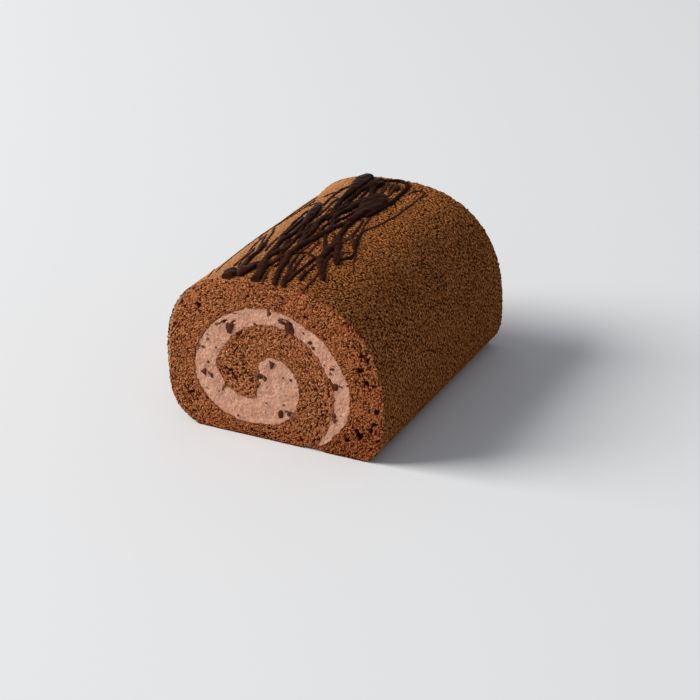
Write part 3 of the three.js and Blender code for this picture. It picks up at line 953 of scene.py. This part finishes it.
# The chocolate chips at each cut face
chips = {
    "front": [          # x, z, width, height, lean in degrees and shape
        (-22.3, 53, 7, 6.4, -6, "wedge"), (-25.6, 55.4, 2, 1.2, -20, "block"),
        (8.3, 58.3, 4.6, 6.8, -34, "block"), (4.6, 60.8, 2.8, 1.4, 12, "block"),
        (3.2, 61, 1.4, 1.2, 40, "block"), (-2.7, 64, 1.4, 3.2, 10, "wedge"),
        (-1.2, 38.6, 3.2, 4, 10, "wedge"), (-36.3, 28.2, 3.8, 3.8, 204, "wedge"),
        (-32.5, 26.8, 1.9, 2.4, -20, "wedge"), (-26.2, 22.5, 1.2, 2.8, 30, "block"),
        (-36.4, 40.5, 1.9, 1.2, -12, "wedge"), (30.3, 34.3, 3, 3.8, 16, "block"),
        (29.8, 19.6, 2.2, 2.2, 30, "block"), (30.2, 17.2, 2.6, 2, 0, "wedge"),
        (17.8, 53.6, 2.2, 1.6, -24, "block"), (19.6, 51.2, 1.9, 1.7, -10, "wedge"),
        (29, 43, 2.6, 1.2, -12, "block"), (28.2, 40.6, 1.5, 1.5, 30, "wedge"),
        (3, 14.4, 2.6, 4.8, 6, "block"), (7, 15.2, 1.8, 1.6, 20, "block"),
        (8.6, 14.2, 1.6, 1.8, -30, "wedge"), (-7.2, 31.8, 2, 3, 34, "block"),
        (-5.2, 31, 1.5, 3, -20, "block"), (8.4, 33, 1.7, 1.6, 0, "wedge"),
        (13, 28.6, 1.8, 1.8, 30, "block"), (-29.4, 53.4, 1.4, 1.4, 0, "block"),
        (-34, 45, 1.1, 1.5, 20, "block"), (-34.2, 33.4, 1.2, 1.4, 0, "block"),
        (-7.8, 27.8, 1.4, 1.2, 0, "block"),
    ],
    "back": [
        (-31.5, 44.5, 5, 4.2, 14, "wedge"), (-12.5, 61, 4.4, 4, -20, "block"),
        (14.5, 57.4, 5.4, 4.6, 160, "wedge"), (32.6, 32, 3, 4, 10, "block"),
        (-35.2, 22.8, 3.6, 3, -30, "wedge"), (-17, 11.5, 5, 3.4, 20, "block"),
        (5.5, 24, 3.6, 4.4, 40, "wedge"), (5, 36.8, 3.4, 2.6, 0, "block"),
        (-3.6, 14.4, 2.6, 3, 0, "wedge"), (30.6, 15.6, 2.4, 2.2, 50, "block"),
        (-37.5, 35.4, 2, 2.6, 0, "block"), (24, 47, 2.4, 2, -40, "wedge"),
        (-22, 9, 2.2, 1.8, 0, "block"), (-8, 63, 2, 1.6, 20, "block"),
        (-33.6, 26, 1.8, 1.6, 0, "wedge"),
    ],
    "specks": 24,               # small ones at each face
    "speckSize": (0.5, 1.25),
    "speckField": (-45, 40, 3, 72),     # x from, to, z from, to
    "paleBelow": 1.7,           # chips narrower than this are paler
    "grown": 1.06,              # makes up for the corners that are cut away
    "depth": (0.8, 0.5),        # for each mm of the smaller side, and added to that
    "sunk": 0.43,               # share of the depth that its middle lies behind the face
    "proud": 0.35,
    "tip": 8, "yaw": 10,        # how much they are turned out of the face, in degrees
    "bevel": 0.025,             # share of the size
    "seed": 11,
}
# the planes that cut a cube's corners away: direction and distance from the middle
blockCuts = [
    ((0.8, 0.3, 0.5), 0.4), ((-0.5, 0.2, 0.8), 0.42), ((0.3, -0.8, -0.6), 0.51), ((-0.8, -0.3, -0.5), 0.46),
    ((0.5, 0.9, -0.3), 0.45), ((-0.3, -0.9, 0.4), 0.51), ((0.7, -0.7, 0.1), 0.58),
]
wedgeCuts = [           # a shard with its point down and a ridge along its broad side
    ((0.86, 0.0, -0.42), 0.25), ((-0.88, 0.0, -0.36), 0.28), ((0.3, -0.95, -0.1), 0.47),
    ((-0.26, -0.96, 0.08), 0.47), ((0.1, -0.6, 0.79), 0.5), ((0.5, 0.2, 0.84), 0.48),
    ((0.0, -0.35, -0.94), 0.56),
]


def chipModel(cuts):
    deselectAll()
    bpy.ops.mesh.primitive_cube_add(size=1.0)
    chip = bpy.context.object
    bpy.ops.object.mode_set(mode="EDIT")
    for normal, reach in cuts:
        direction = Vector(normal).normalized()
        cutAway(direction * reach, direction)
    bpy.ops.object.mode_set(mode="OBJECT")
    bpy.ops.object.modifier_add(type="BEVEL")
    chip.modifiers["Bevel"].width = chips["bevel"]
    chip.modifiers["Bevel"].segments = 2
    bpy.ops.object.modifier_apply(modifier="Bevel")
    return chip


def creamSection():
    # the cream's outline as one closed run of points
    first, last = creamShape["turns"]
    outer = [polarPoint(creamOuterPath, degrees) for degrees in range(first, last + 1, 3)]
    curl = [alongCurl(share / 20) for share in range(20, 0, -1)]
    inner = [polarPoint(creamInnerPath, degrees) for degrees in range(creamShape["curlFrom"], first - 1, -4)]
    return outer + curl + inner


def isInside(x, z, section):
    inside = False
    for (x1, z1), (x2, z2) in zip(section, section[1:] + section[:1]):
        if (z1 > z) != (z2 > z) and x < x1 + (x2 - x1) * (z - z1) / (z2 - z1):
            inside = not inside
    return inside


def strewnSpecks(draw):
    section = creamSection()
    left, right, low, high = chips["speckField"]
    specks = []
    while len(specks) < chips["specks"]:
        x, z = draw.uniform(left, right), draw.uniform(low, high)
        if isInside(x, z, section):
            width, height = draw.uniform(*chips["speckSize"]), draw.uniform(*chips["speckSize"])
            specks.append((x, z, width, height, draw.uniform(0, 360), "block"))
    return specks


def joined(pieces, name):
    chooseOnly(pieces)
    bpy.ops.object.transform_apply(location=True, rotation=True, scale=True)
    bpy.ops.object.join()
    piece = bpy.context.object
    piece.name = name
    return piece


def scatterChips(name):
    draw = random.Random(chips["seed"])
    models = {"block": chipModel(blockCuts), "wedge": chipModel(wedgeCuts)}
    share, added = chips["depth"]
    copies = []
    for side, listed in ((-1, chips["front"]), (1, chips["back"])):
        for x, z, width, height, lean, kind in listed + strewnSpecks(draw):
            chip = models[kind].copy()
            chip.data = models[kind].data.copy()
            chip.data.materials.append(chipChocolate if width >= chips["paleBelow"] else speckChocolate)
            bpy.context.collection.objects.link(chip)
            deep = share * min(width, height) + added
            tip = math.radians(draw.uniform(-chips["tip"], chips["tip"]))
            yaw = math.radians(draw.uniform(-chips["yaw"], chips["yaw"]))
            chip.rotation_euler = (tip, math.radians(lean), yaw + (0 if side < 0 else math.pi))
            chip.scale = (chips["grown"] * width * mm, deep * mm, chips["grown"] * height * mm)
            face = roll["halfLength"] - creamShape["recess"] + faceWave(x, z, side) + chips["proud"]
            chip.location = toPlace((x, z), side * (face - chips["sunk"] * deep))
            copies.append(chip)
    piece = joined(copies, name)
    for model in models.values():
        bpy.data.objects.remove(model)
    return piece


claim(scatterChips("chocolateChips"), "cream")


# The chocolate trailed along the crown: x, y and width of each trail, from the back to the front
trails = [
    [(-18.9, 65.4, 9.8), (-18.5, 61, 9.8), (-18.1, 57, 9), (-17.8, 53, 7.4), (-17.5, 49, 5.8),
     (-17.3, 45, 4.6), (-17.2, 41, 4.1), (-17.2, 37, 3.6), (-16.9, 33, 3.2), (-16.2, 29, 3),
     (-15.4, 25, 2.6), (-14.8, 21.5, 2.2), (-14.2, 18, 2)],
    [(-9.8, 63.2, 5.4), (-9.9, 60, 7.8), (-10.3, 56.6, 7.8), (-11.8, 53.2, 4.6), (-13.3, 50, 2.7),
     (-13.4, 46, 2.4), (-13.2, 41, 2.5), (-13.1, 37, 2.7), (-12.9, 33, 2.7), (-12.7, 29.5, 2.4),
     (-13.1, 26, 1.7), (-13.3, 22.5, 1.6)],
    [(-9.6, 55.6, 5), (-8.4, 51.8, 3.6), (-7.2, 48.4, 3), (-6.4, 45.4, 3), (-5.4, 42.4, 3)],
    [(-0.8, 46.2, 4), (-0.6, 43, 5.4), (-0.6, 39, 6.2), (-0.8, 35, 6.2), (-1, 31, 5.8), (-1.2, 27, 5),
     (-1.4, 23, 4),
     (-1.6, 19, 3)],
    [(-10.4, 50, 1.4), (-10.2, 46, 1.4), (-9.9, 42, 1.5), (-9.4, 38.5, 1.3), (-8.6, 36, 1.4)],
    [(-9.8, 65.4, 1.6), (-7.4, 65.4, 2.2), (-5, 66.2, 2.2), (-2.6, 67.2, 2.4), (0, 67.4, 2.4),
     (2.4, 66.4, 2.4), (4.4, 64.4, 2.5), (5.5, 61.4, 2.4), (6, 57, 2.3), (6, 53, 2.3), (6, 49, 2.3),
     (6.2, 45, 2.4), (6.2, 41, 2.6), (5.8, 37, 3), (5.4, 32, 3), (5, 27, 3), (4.6, 22, 3), (4.3, 18, 2.4)],
    [(-2, 47.2, 3.6), (-2.2, 44.4, 6), (-2.5, 41.4, 7.6), (-3.2, 38, 7.6), (-3.4, 34.4, 6), (-3.4, 30.6, 4),
     (-3.4, 27, 2.4), (-3.6, 23.6, 2.2), (-4, 20, 2), (-4.4, 16.6, 1.7), (-4.8, 13.4, 1.7), (-5.6, 10.4, 2),
     (-6.6, 7, 2.2), (-6.6, 4, 2.4), (-5.6, 1, 2.8), (-5, -2.4, 3.2), (-4.9, -6, 3.2), (-5.8, -10, 3.8),
     (-6.2, -14, 3.6), (-6.6, -18, 3.8), (-7.6, -22, 3.8), (-8.4, -26, 4), (-8.4, -30, 3.8),
     (-8.3, -34, 3.4), (-7.9, -38, 3.2), (-7.2, -42, 3), (-6, -46, 2.8), (-5, -50, 2.8), (-4.4, -54, 2.7),
     (-3.3, -58, 2.7), (-2.2, -62, 2.8), (-0.8, -66, 2.8), (0.7, -70, 2.8)],
    [(0.2, 45.4, 3.6), (1.2, 42.4, 5.4), (2, 39.4, 6.6), (2.6, 36, 7), (2.4, 32, 6.6), (1.8, 28, 6),
     (1, 24, 5.6), (0.4, 20, 5.2), (0.2, 16, 4.8), (-0.1, 12, 4.4), (-0.4, 8, 4), (-1.8, 4.4, 3),
     (-3, 1.2, 2.8), (-4.2, -2, 2.8), (-4.4, -6, 2.8), (-4.8, -10, 2.8)],
    [(-6.2, 38, 4), (-6.8, 34, 4.4), (-7.2, 30, 4), (-7.4, 26, 3.6), (-8, 22, 3.2), (-9, 18, 2.8),
     (-9.6, 14.6, 2.6), (-9.2, 11.4, 2.2), (-8.8, 8, 1.9), (-8.8, 4, 1.7), (-8.9, 0, 1.6), (-8.7, -4, 1.6),
     (-8, -7.6, 1.8), (-7.2, -10.4, 2.4)],
    [(-7.6, 34, 3), (-9.4, 30.4, 3), (-10.6, 26.6, 2.8), (-11.2, 22.8, 2.7), (-12, 19, 2.9),
     (-12.7, 15.4, 3.2), (-13.3, 11.8, 3.5), (-13.8, 8, 3.7), (-14, 4.4, 3.4), (-13.5, 0.8, 3.1),
     (-12.6, -2.8, 3.1), (-11.6, -6.4, 2.8), (-11, -10, 2.4), (-10.8, -14, 2.2), (-10.7, -18, 2.2),
     (-10.2, -22, 2.2), (-9.4, -25.4, 2.4)],
    [(-10.4, 19, 2.2), (-10.8, 15, 2.4), (-11.2, 11, 2.2), (-11.6, 7.6, 1.6)],
    [(-15.3, 3, 1.8), (-15.9, -0.6, 1.7), (-15.7, -4, 1.5), (-15.2, -7.4, 1.5), (-14.8, -10.8, 1.5),
     (-14.9, -14.2, 2.2), (-14.9, -17.4, 1.9), (-14.5, -20.6, 1.8), (-13.9, -24, 1.8), (-13.5, -28, 1.8),
     (-13, -32, 1.6), (-12.4, -36, 2), (-11.6, -40, 1.6), (-11.2, -44, 1.7), (-11, -48, 1.8),
     (-11.2, -52, 2)],
    [(-18.8, 1.6, 1.6), (-17.4, -1.4, 1.6), (-16, -4, 1.5)],
    [(-18, -4.6, 1.8), (-17.2, -8, 1.7), (-16.4, -11.4, 1.7), (-15.7, -14.6, 1.9)],
    [(-13.9, -3.6, 1.2), (-13.7, -7, 1.3), (-13.4, -10.4, 1.5), (-13, -14, 1.5), (-12.4, -17.4, 1.5),
     (-11.8, -20.6, 1.6), (-11, -23.6, 1.6)],
    [(-26.6, 28, 2), (-25.8, 25.4, 3.8), (-24.3, 22, 4.8), (-23.5, 18.6, 5.8), (-22.8, 15, 5.8),
     (-21.9, 11.4, 5.4), (-20.9, 8, 5), (-20.3, 4.4, 4.2), (-19.8, 0.6, 3.6), (-19.6, -3, 3.2),
     (-19.1, -7, 2.9), (-19, -11, 2.7), (-19.1, -15, 2.7), (-19.3, -19, 2.8), (-19.9, -22.6, 2.8)],
    [(-28, 19.6, 1.2), (-27.4, 11, 1.3), (-26.5, 2.4, 1.5), (-25.2, -4, 1.6), (-24.3, -9, 1.7),
     (-23.4, -14, 2.2), (-22.6, -18, 2.6)],
    [(-24.7, 8.6, 1.6), (-23.9, 4.4, 1.9), (-23.5, 0, 2.1), (-23.1, -4, 1.9), (-22.8, -8, 1.8),
     (-22.6, -12, 1.8), (-22.6, -16, 2.4)],
    [(-22.4, -17, 2.6), (-21.2, -21, 2.7), (-19.8, -25.4, 2.7), (-18.9, -30, 2.7), (-18.3, -34, 2.7),
     (-17.5, -38, 2.7), (-16.7, -42, 2.8), (-15.9, -46, 3), (-14.6, -50, 3.6), (-13.4, -53.6, 4.6),
     (-12.2, -57, 4.8), (-11, -60.4, 4.4), (-10, -64, 4.4), (-9.2, -67.6, 4.6), (-8.6, -71, 5)],
    [(-15.8, -21, 2.2), (-16.2, -24.6, 2.6), (-15.4, -28.4, 2.3), (-14.2, -32.4, 2.8), (-13.8, -35.8, 4.2),
     (-14.6, -38.8, 3.4), (-15.2, -43, 1.9), (-15.1, -47.4, 1.7), (-14.4, -51, 2)],
    [(0.6, 9, 3), (0.9, 5, 3), (1.2, 1, 2.8), (1.8, -3, 2.9), (2.4, -7, 2.9), (3.4, -11, 3.2),
     (4.6, -15, 4), (5.8, -19, 5), (5.2, -23, 4.2), (5.6, -27, 4.2), (6.2, -31, 3.8), (6.6, -35, 3.6),
     (8, -39, 3.6), (10, -43, 3.4), (12.2, -46.6, 3.2), (14.4, -50, 3.1), (16.6, -53.4, 2.6)],
    [(7.4, -19, 3.4), (8.8, -23, 3), (10.4, -26.6, 3), (12, -30, 3.3), (13.6, -33.4, 3.6),
     (15.2, -36.6, 3)],
    [(9.2, -28, 1.4), (9.4, -33, 1.6), (10.2, -38, 1.8), (11.8, -42.4, 1.8), (13.6, -46.4, 1.8)],
    [(-4, -9, 1.6), (-2.7, -12.4, 1.6), (-1.2, -16, 1.7), (0.4, -19.4, 1.8), (2, -22.4, 2),
     (3.8, -25.4, 2.2)],
    [(10.1, 0, 1.4), (11.1, -5, 1.6), (12.1, -9.6, 2.6), (13.1, -13, 3), (14.7, -17, 2), (16.7, -21, 1.7),
     (17.1, -25, 1.5), (15.9, -29, 1.8), (14.3, -32, 2.4)],
    [(-28, -22, 1.3), (-27, -27, 2.2), (-26, -31.4, 3.6), (-25, -35, 2.7), (-24.1, -40.6, 2.5),
     (-23.9, -45.6, 2.7), (-22.8, -51.6, 2.8), (-21.6, -57.4, 3.2), (-20, -62.4, 3.6), (-19, -66.6, 3)],
    [(-25.2, -59.6, 2.2), (-24.9, -62.2, 4.2), (-24, -65.4, 6), (-23, -68.4, 6.8), (-22.6, -72, 6.4)],
    [(-15.8, -51.4, 2.2), (-16.9, -55.6, 4.2), (-17.6, -60, 5), (-18, -64.2, 5), (-18, -67.4, 3.4)],
    [(-11.6, -57.4, 2.2), (-10.4, -52.4, 1.8), (-10.1, -46.6, 1.8), (-9.8, -41.4, 1.8), (-9, -37.4, 2)],
    [(-8.4, -44, 1.4), (-7.6, -48, 1.5), (-7.4, -51, 1.5), (-7.9, -54, 1.4)],
    [(-4.6, -36.6, 1.3), (-3.6, -40, 1.4), (-3, -44, 1.5), (-2.2, -48, 1.7), (-1, -51.6, 1.8),
     (0.4, -55, 2), (1.6, -59, 2.2), (2.6, -63, 2.4), (4, -67, 2.6), (5.4, -71, 2.6)],
    [(-1.6, -35.6, 1.2), (-1, -40, 1.2), (-0.3, -44, 1.3), (0.5, -48, 1.4), (1.4, -52, 1.5),
     (2.2, -56, 1.6), (2.8, -60, 1.6)],
    [(4.1, -36, 1.9), (4.2, -42, 1.7), (4.3, -48, 1.7), (4.2, -54, 1.8), (4.2, -60, 1.8), (4.9, -65, 1.6)],
    [(7.1, -43, 1.3), (7.7, -47.6, 1.4), (7.8, -51, 1.4), (7.7, -54.4, 1.8), (8.2, -58, 2.3),
     (8.6, -60.2, 2)],
    [(-7.2, -36, 1.8), (-4.6, -34.2, 2), (-2.2, -33.4, 1.9), (0.4, -34.2, 1.8), (2.8, -35.6, 1.9),
     (5, -37.4, 2)],
]
fineTrails = [
    [(-22.1, 57, 1.2), (-22.6, 53.4, 1.3), (-23.6, 50.6, 1.5), (-24.4, 48, 1.6), (-24.2, 45, 1.4),
     (-24.5, 42, 1.4), (-24.4, 38, 1.4), (-24.1, 34, 1.4), (-23.6, 30.4, 1.5), (-22.9, 26.6, 1.4)],
    [(-24.6, 46.6, 1), (-26.4, 44.6, 1), (-27.8, 42.6, 1), (-29.4, 39.8, 0.9)],
    [(-23.9, 36.6, 0.9), (-22.2, 37.2, 1.1), (-20.8, 37, 1.2), (-19.6, 35.4, 1.2)],
    [(-19.8, 35, 1.2), (-20, 30, 1.3), (-19.6, 26, 1.2), (-19.3, 22.4, 1.2), (-18.9, 19, 1.2),
     (-18.9, 14.6, 1.2), (-18.4, 10.6, 1)],
    [(-17.3, 23.4, 0.9), (-16.7, 19.6, 0.9), (-16.1, 15.6, 0.9), (-15.5, 11.4, 1)],
    [(-31.1, 27.6, 1), (-30.3, 29.4, 1), (-28.7, 30.4, 1), (-26.7, 30, 1.1), (-24.7, 28, 1.1),
     (-23.1, 23, 1.1)],
    [(-8.4, 65, 1.2), (-7, 61.6, 1.3), (-5.7, 58, 1.3), (-4.8, 54.6, 1.3), (-4.2, 51.6, 1.2),
     (-3.4, 49.6, 1.2)],
    [(-6.6, 65.4, 1), (-5.2, 62.4, 1), (-4.4, 59.4, 1), (-3.8, 56, 1.1), (-3.3, 52.6, 1), (-3, 50, 1)],
    [(-4, 63, 0.9), (-2.8, 62.6, 1), (-2.2, 60.6, 1.3), (-2.2, 58, 1.3), (-1.6, 55.6, 1.1), (-0.6, 53, 1),
     (0.2, 50.6, 1)],
    [(-1.6, 65.6, 1.1), (-1, 62.8, 1.4), (0.4, 60.6, 2.8), (1.2, 58.2, 3.8), (0.9, 55.2, 2.2), (1.2, 52, 1.1),
     (1.6, 48.6, 1.1)],
    [(-3.2, 60, 1), (-2, 57.4, 1.4), (-1, 56.6, 1.2)],
    [(9.1, 55, 0.9), (9.7, 59, 1), (11.5, 61.8, 1), (13.5, 62.8, 1.1), (14.8, 60.6, 1), (14.9, 54, 0.9),
     (14.8, 46, 0.9), (14.4, 37, 0.9), (14.5, 28, 0.9), (13.4, 21, 1), (12.9, 14, 1), (11.5, 8, 1),
     (10.3, 3.6, 1.1), (10.1, -1, 1.2)],
    [(4.7, 20, 1), (6.3, 14.6, 1), (7.5, 9, 1), (8.7, 4, 1), (9.7, 0, 1.1)],
    [(3.9, 14, 1.3), (5.3, 9.6, 1.3), (6.3, 4, 1.4), (6.9, -2, 1.5), (7.9, -7, 1.6), (9.9, -10, 1.6),
     (11.9, -12, 1.6)],
    [(9.9, -2.6, 0.9), (8.7, -6, 0.9), (7.9, -10, 1), (8.5, -14.4, 1), (10.1, -13, 0.9),
     (11.1, -10.4, 0.9)],
    [(7.3, -2, 1), (6.9, -9, 1.1), (7.1, -16, 1.3)],
    [(12.9, -26.4, 0.9), (12.7, -24, 0.9), (13.9, -22.2, 0.9), (15.7, -21.4, 0.9), (17.1, -21.8, 0.9)],
    [(17.3, -21.6, 1), (18.7, -25, 0.9), (20.1, -30, 0.9), (22.3, -34.4, 0.8), (23.3, -37, 0.7)],
    [(-5.4, -19.6, 1.1), (-5.2, -24, 1.1), (-4.9, -28, 1.1), (-5.2, -31.4, 1.1), (-6, -34, 1.1)],
    [(-2.7, -18, 1), (-2.3, -23, 1.1), (-1.9, -28, 1.1), (-1.1, -32, 1.1), (-0.4, -34.6, 1.1)],
    [(-1.8, -5.4, 0.9), (0, -8.2, 0.9), (1.2, -11.4, 0.9), (2.4, -15, 0.9)],
    [(5.9, -50, 1), (6.9, -55, 1.2), (7.9, -59.4, 1.2)],
    [(10.3, -43, 1.1), (11.9, -49, 1), (13, -55, 1.1), (13.3, -61, 1.1), (13.9, -66, 1), (15.5, -73, 1)],
    [(-24.2, -19, 1), (-23.5, -24, 1.1), (-22.9, -29, 1.1), (-22.2, -33, 1.2), (-21, -37, 1.2)],
    [(-7.8, -59, 0.9), (-6.8, -63.4, 1.1), (-6, -67.4, 1.1), (-5, -70.4, 1)],
    [(-39.9, 3, 0.9), (-36.5, 1, 0.9), (-34.3, -4, 1.1), (-32.1, -9, 1.2), (-30.3, -14, 1.2),
     (-29, -20, 1.2), (-27.1, -25.6, 1.2), (-25.5, -30, 1.3)],
    [(-34.3, -11, 1), (-32.1, -18, 1), (-30.1, -23.6, 1), (-28.1, -28.6, 1.2), (-26.5, -33, 1.4)],
    [(-33.9, -15, 0.8), (-32.9, -24, 0.9), (-31.6, -31, 1), (-29.9, -36, 1.2), (-28.2, -41, 1.5),
     (-27.4, -47, 1.6), (-27.2, -52, 1.5), (-27, -56, 1.5)],
    [(-26.8, -50.4, 1), (-25.6, -53.6, 1.1), (-24.6, -56.4, 1.1), (-23.2, -58.6, 1.1)],
    [(-29.3, -32, 1.1), (-28.1, -38, 1.2), (-27.6, -42, 1.1)],
    [(-34.7, 43, 0.8), (-37.3, 19, 0.9), (-38.7, 1, 0.9), (-39.2, -21, 0.9), (-38, -41, 0.9),
     (-35.3, -54, 0.9), (-33.7, -61, 0.8)],
    [(-32.5, 37, 0.9), (-33.5, 25, 0.9), (-35.9, 11, 0.9), (-38.1, -5, 1), (-36.7, -13, 0.9),
     (-34.3, -18, 0.9)],
    [(-40.1, -51, 0.8), (-37.9, -58, 0.9), (-35.5, -63.6, 0.9), (-34.7, -67, 0.7)],
]
trailShape = {
    "cap": 2.3,             # height that a wide pool doesn't pass
    "round": 0.92,          # height of a narrow strand for its width
    "sunk": 0.7,            # how far a strand reaches into the sponge
    "centre": 0.1,
    "endRun": 0.35,         # a strand runs on past its last point for this share of its width
    "endWidth": 0.5,
    "ripple": [(0.3, 0.3, 0.22, 4), (0.06, 0.9, 0.5, 6)],   # share of the height, pace in x and y, layer
    "sway": (0.25, 0.2, 0.35, 9),                           # side to side: reach, pace in x and y, layer
    "overhang": 0.1,        # past the cut faces
    "voxel": 0.34,
    "fineVoxel": 0.2,
    "thinRun": (10, -60),   # y where the chocolate starts to get thinner, and the run to the front
}


def endKnot(here, inside):
    place = Vector(here[:2])
    run = (place - Vector(inside[:2])).normalized() * trailShape["endRun"] * here[2]
    return (*(place + run), trailShape["endWidth"] * here[2])


def trailBar(points):
    # one strand as a round bar along a curve, laid out flat
    deselectAll()
    bpy.ops.curve.primitive_bezier_curve_add()
    bar = bpy.context.object
    knots = [endKnot(points[0], points[1]), *points, endKnot(points[-1], points[-2])]
    spline = bar.data.splines[0]
    spline.bezier_points.add(len(knots) - 2)
    for knot, (x, y, width) in zip(spline.bezier_points, knots):
        knot.co = (x * mm, y * mm, trailShape["centre"] * width * mm)
        knot.radius = width / 2
        knot.handle_left_type = knot.handle_right_type = "AUTO"
    bar.data.dimensions = "3D"
    bar.data.bevel_depth = mm
    bar.data.bevel_resolution = 3
    bar.data.resolution_u = 14
    bar.data.use_fill_caps = True
    bpy.ops.object.convert(target="MESH")
    return bpy.context.object


def waves(x, y, listed):
    return sum(reach * noise.noise(Vector((x * paceX, y * paceY, layer)))
               for reach, paceX, paceY, layer in listed)


def layTrails(name, listed, voxel, surface):
    # the strands are laid on the crown, cut off at both faces, melted into one and smoothed
    piece = joined([trailBar(points) for points in listed], name)
    cap = trailShape["cap"]
    for vertex in piece.data.vertices:
        x, y, height = vertex.co / mm
        ripple = waves(x, y, trailShape["ripple"])
        x += waves(x, y, [trailShape["sway"]])
        if height > 0:
            lift = cap * math.tanh(trailShape["round"] * height / cap) * (1 + ripple)
        else:
            lift = max(height, -trailShape["sunk"])
        vertex.co = toPlace((x, crownHeight(x, y) + lift), y)
    bpy.ops.object.mode_set(mode="EDIT")
    for side in (-1, 1):
        cutAway((0, side * (roll["halfLength"] + trailShape["overhang"]) * mm, 0), (0, side, 0))
    bpy.ops.object.mode_set(mode="OBJECT")
    bpy.ops.object.modifier_add(type="REMESH")
    piece.modifiers["Remesh"].mode = "VOXEL"
    piece.modifiers["Remesh"].voxel_size = voxel * mm
    bpy.ops.object.modifier_apply(modifier="Remesh")
    bpy.ops.object.modifier_add(type="SMOOTH")
    piece.modifiers["Smooth"].factor = 0.5
    piece.modifiers["Smooth"].iterations = 3
    bpy.ops.object.modifier_apply(modifier="Smooth")
    setValues(piece.data, "front", [ramp(v.co.y / mm, *trailShape["thinRun"]) for v in piece.data.vertices])
    piece.data.materials.clear()
    piece.data.materials.append(surface)
    bpy.ops.object.shade_smooth()
    return piece


drizzle = layTrails("chocolateTrails", trails, trailShape["voxel"], chocolate)
claim(drizzle, "sponge")
fineDrizzle = layTrails("chocolateThreads", fineTrails, trailShape["fineVoxel"], threadChocolate)
claim(fineDrizzle, "sponge")


# Floor, light and camera
stage = {
    "floorSize": 12.0,
    "floorColour": (0.63, 0.636, 0.642),
    "worldColour": (0.9, 0.93, 1.0),
    "worldStrength": 0.4,
    "lights": {             # place, size, power, colour
        "windowLight": ((-3.6, -1.5, 2.75), 2.5, 368.0, (1.0, 0.985, 0.96)),
    },
    "lightAim": (0, 0, 0.04),
}
view = {
    "eye": (0.4137, -0.84817, 0.47048), "pitch": 25.708, "turn": 25.776,
    "lens": 112.14, "sensor": 36, "farthest": 20,
}


def makeStage():
    deselectAll()
    bpy.ops.mesh.primitive_plane_add(size=stage["floorSize"])
    floor = bpy.context.object
    floor.name = "floor"
    material, shader = newMaterial("paleFloor", 0.7, 0.2)
    shader.inputs["Base Color"].default_value = (*stage["floorColour"], 1)
    floor.data.materials.append(material)
    world = bpy.data.worlds.new("studio")
    world.use_nodes = True
    background = world.node_tree.nodes["Background"]
    background.inputs["Color"].default_value = (*stage["worldColour"], 1)
    background.inputs["Strength"].default_value = stage["worldStrength"]
    bpy.context.scene.world = world
    for name, (place, size, power, colour) in stage["lights"].items():
        bpy.ops.object.light_add(type="AREA", location=place)
        light = bpy.context.object
        light.name = name
        light.data.size = size
        light.data.energy = power
        light.data.color = colour
        aim = Vector(stage["lightAim"]) - light.location
        light.rotation_euler = aim.to_track_quat("-Z", "Y").to_euler()


def makeCamera():
    eyeX, eyeY, eyeZ = view["eye"]
    bpy.ops.object.camera_add(location=(eyeX + sideShift * mm, eyeY, eyeZ))
    camera = bpy.context.object
    camera.rotation_euler = (math.radians(90 - view["pitch"]), 0, math.radians(view["turn"]))
    camera.data.lens = view["lens"]
    camera.data.sensor_width = view["sensor"]
    camera.data.clip_end = view["farthest"]
    bpy.context.scene.camera = camera


makeStage()
makeCamera()
bpy.context.scene.view_settings.view_transform = "Standard"
print("stage set")
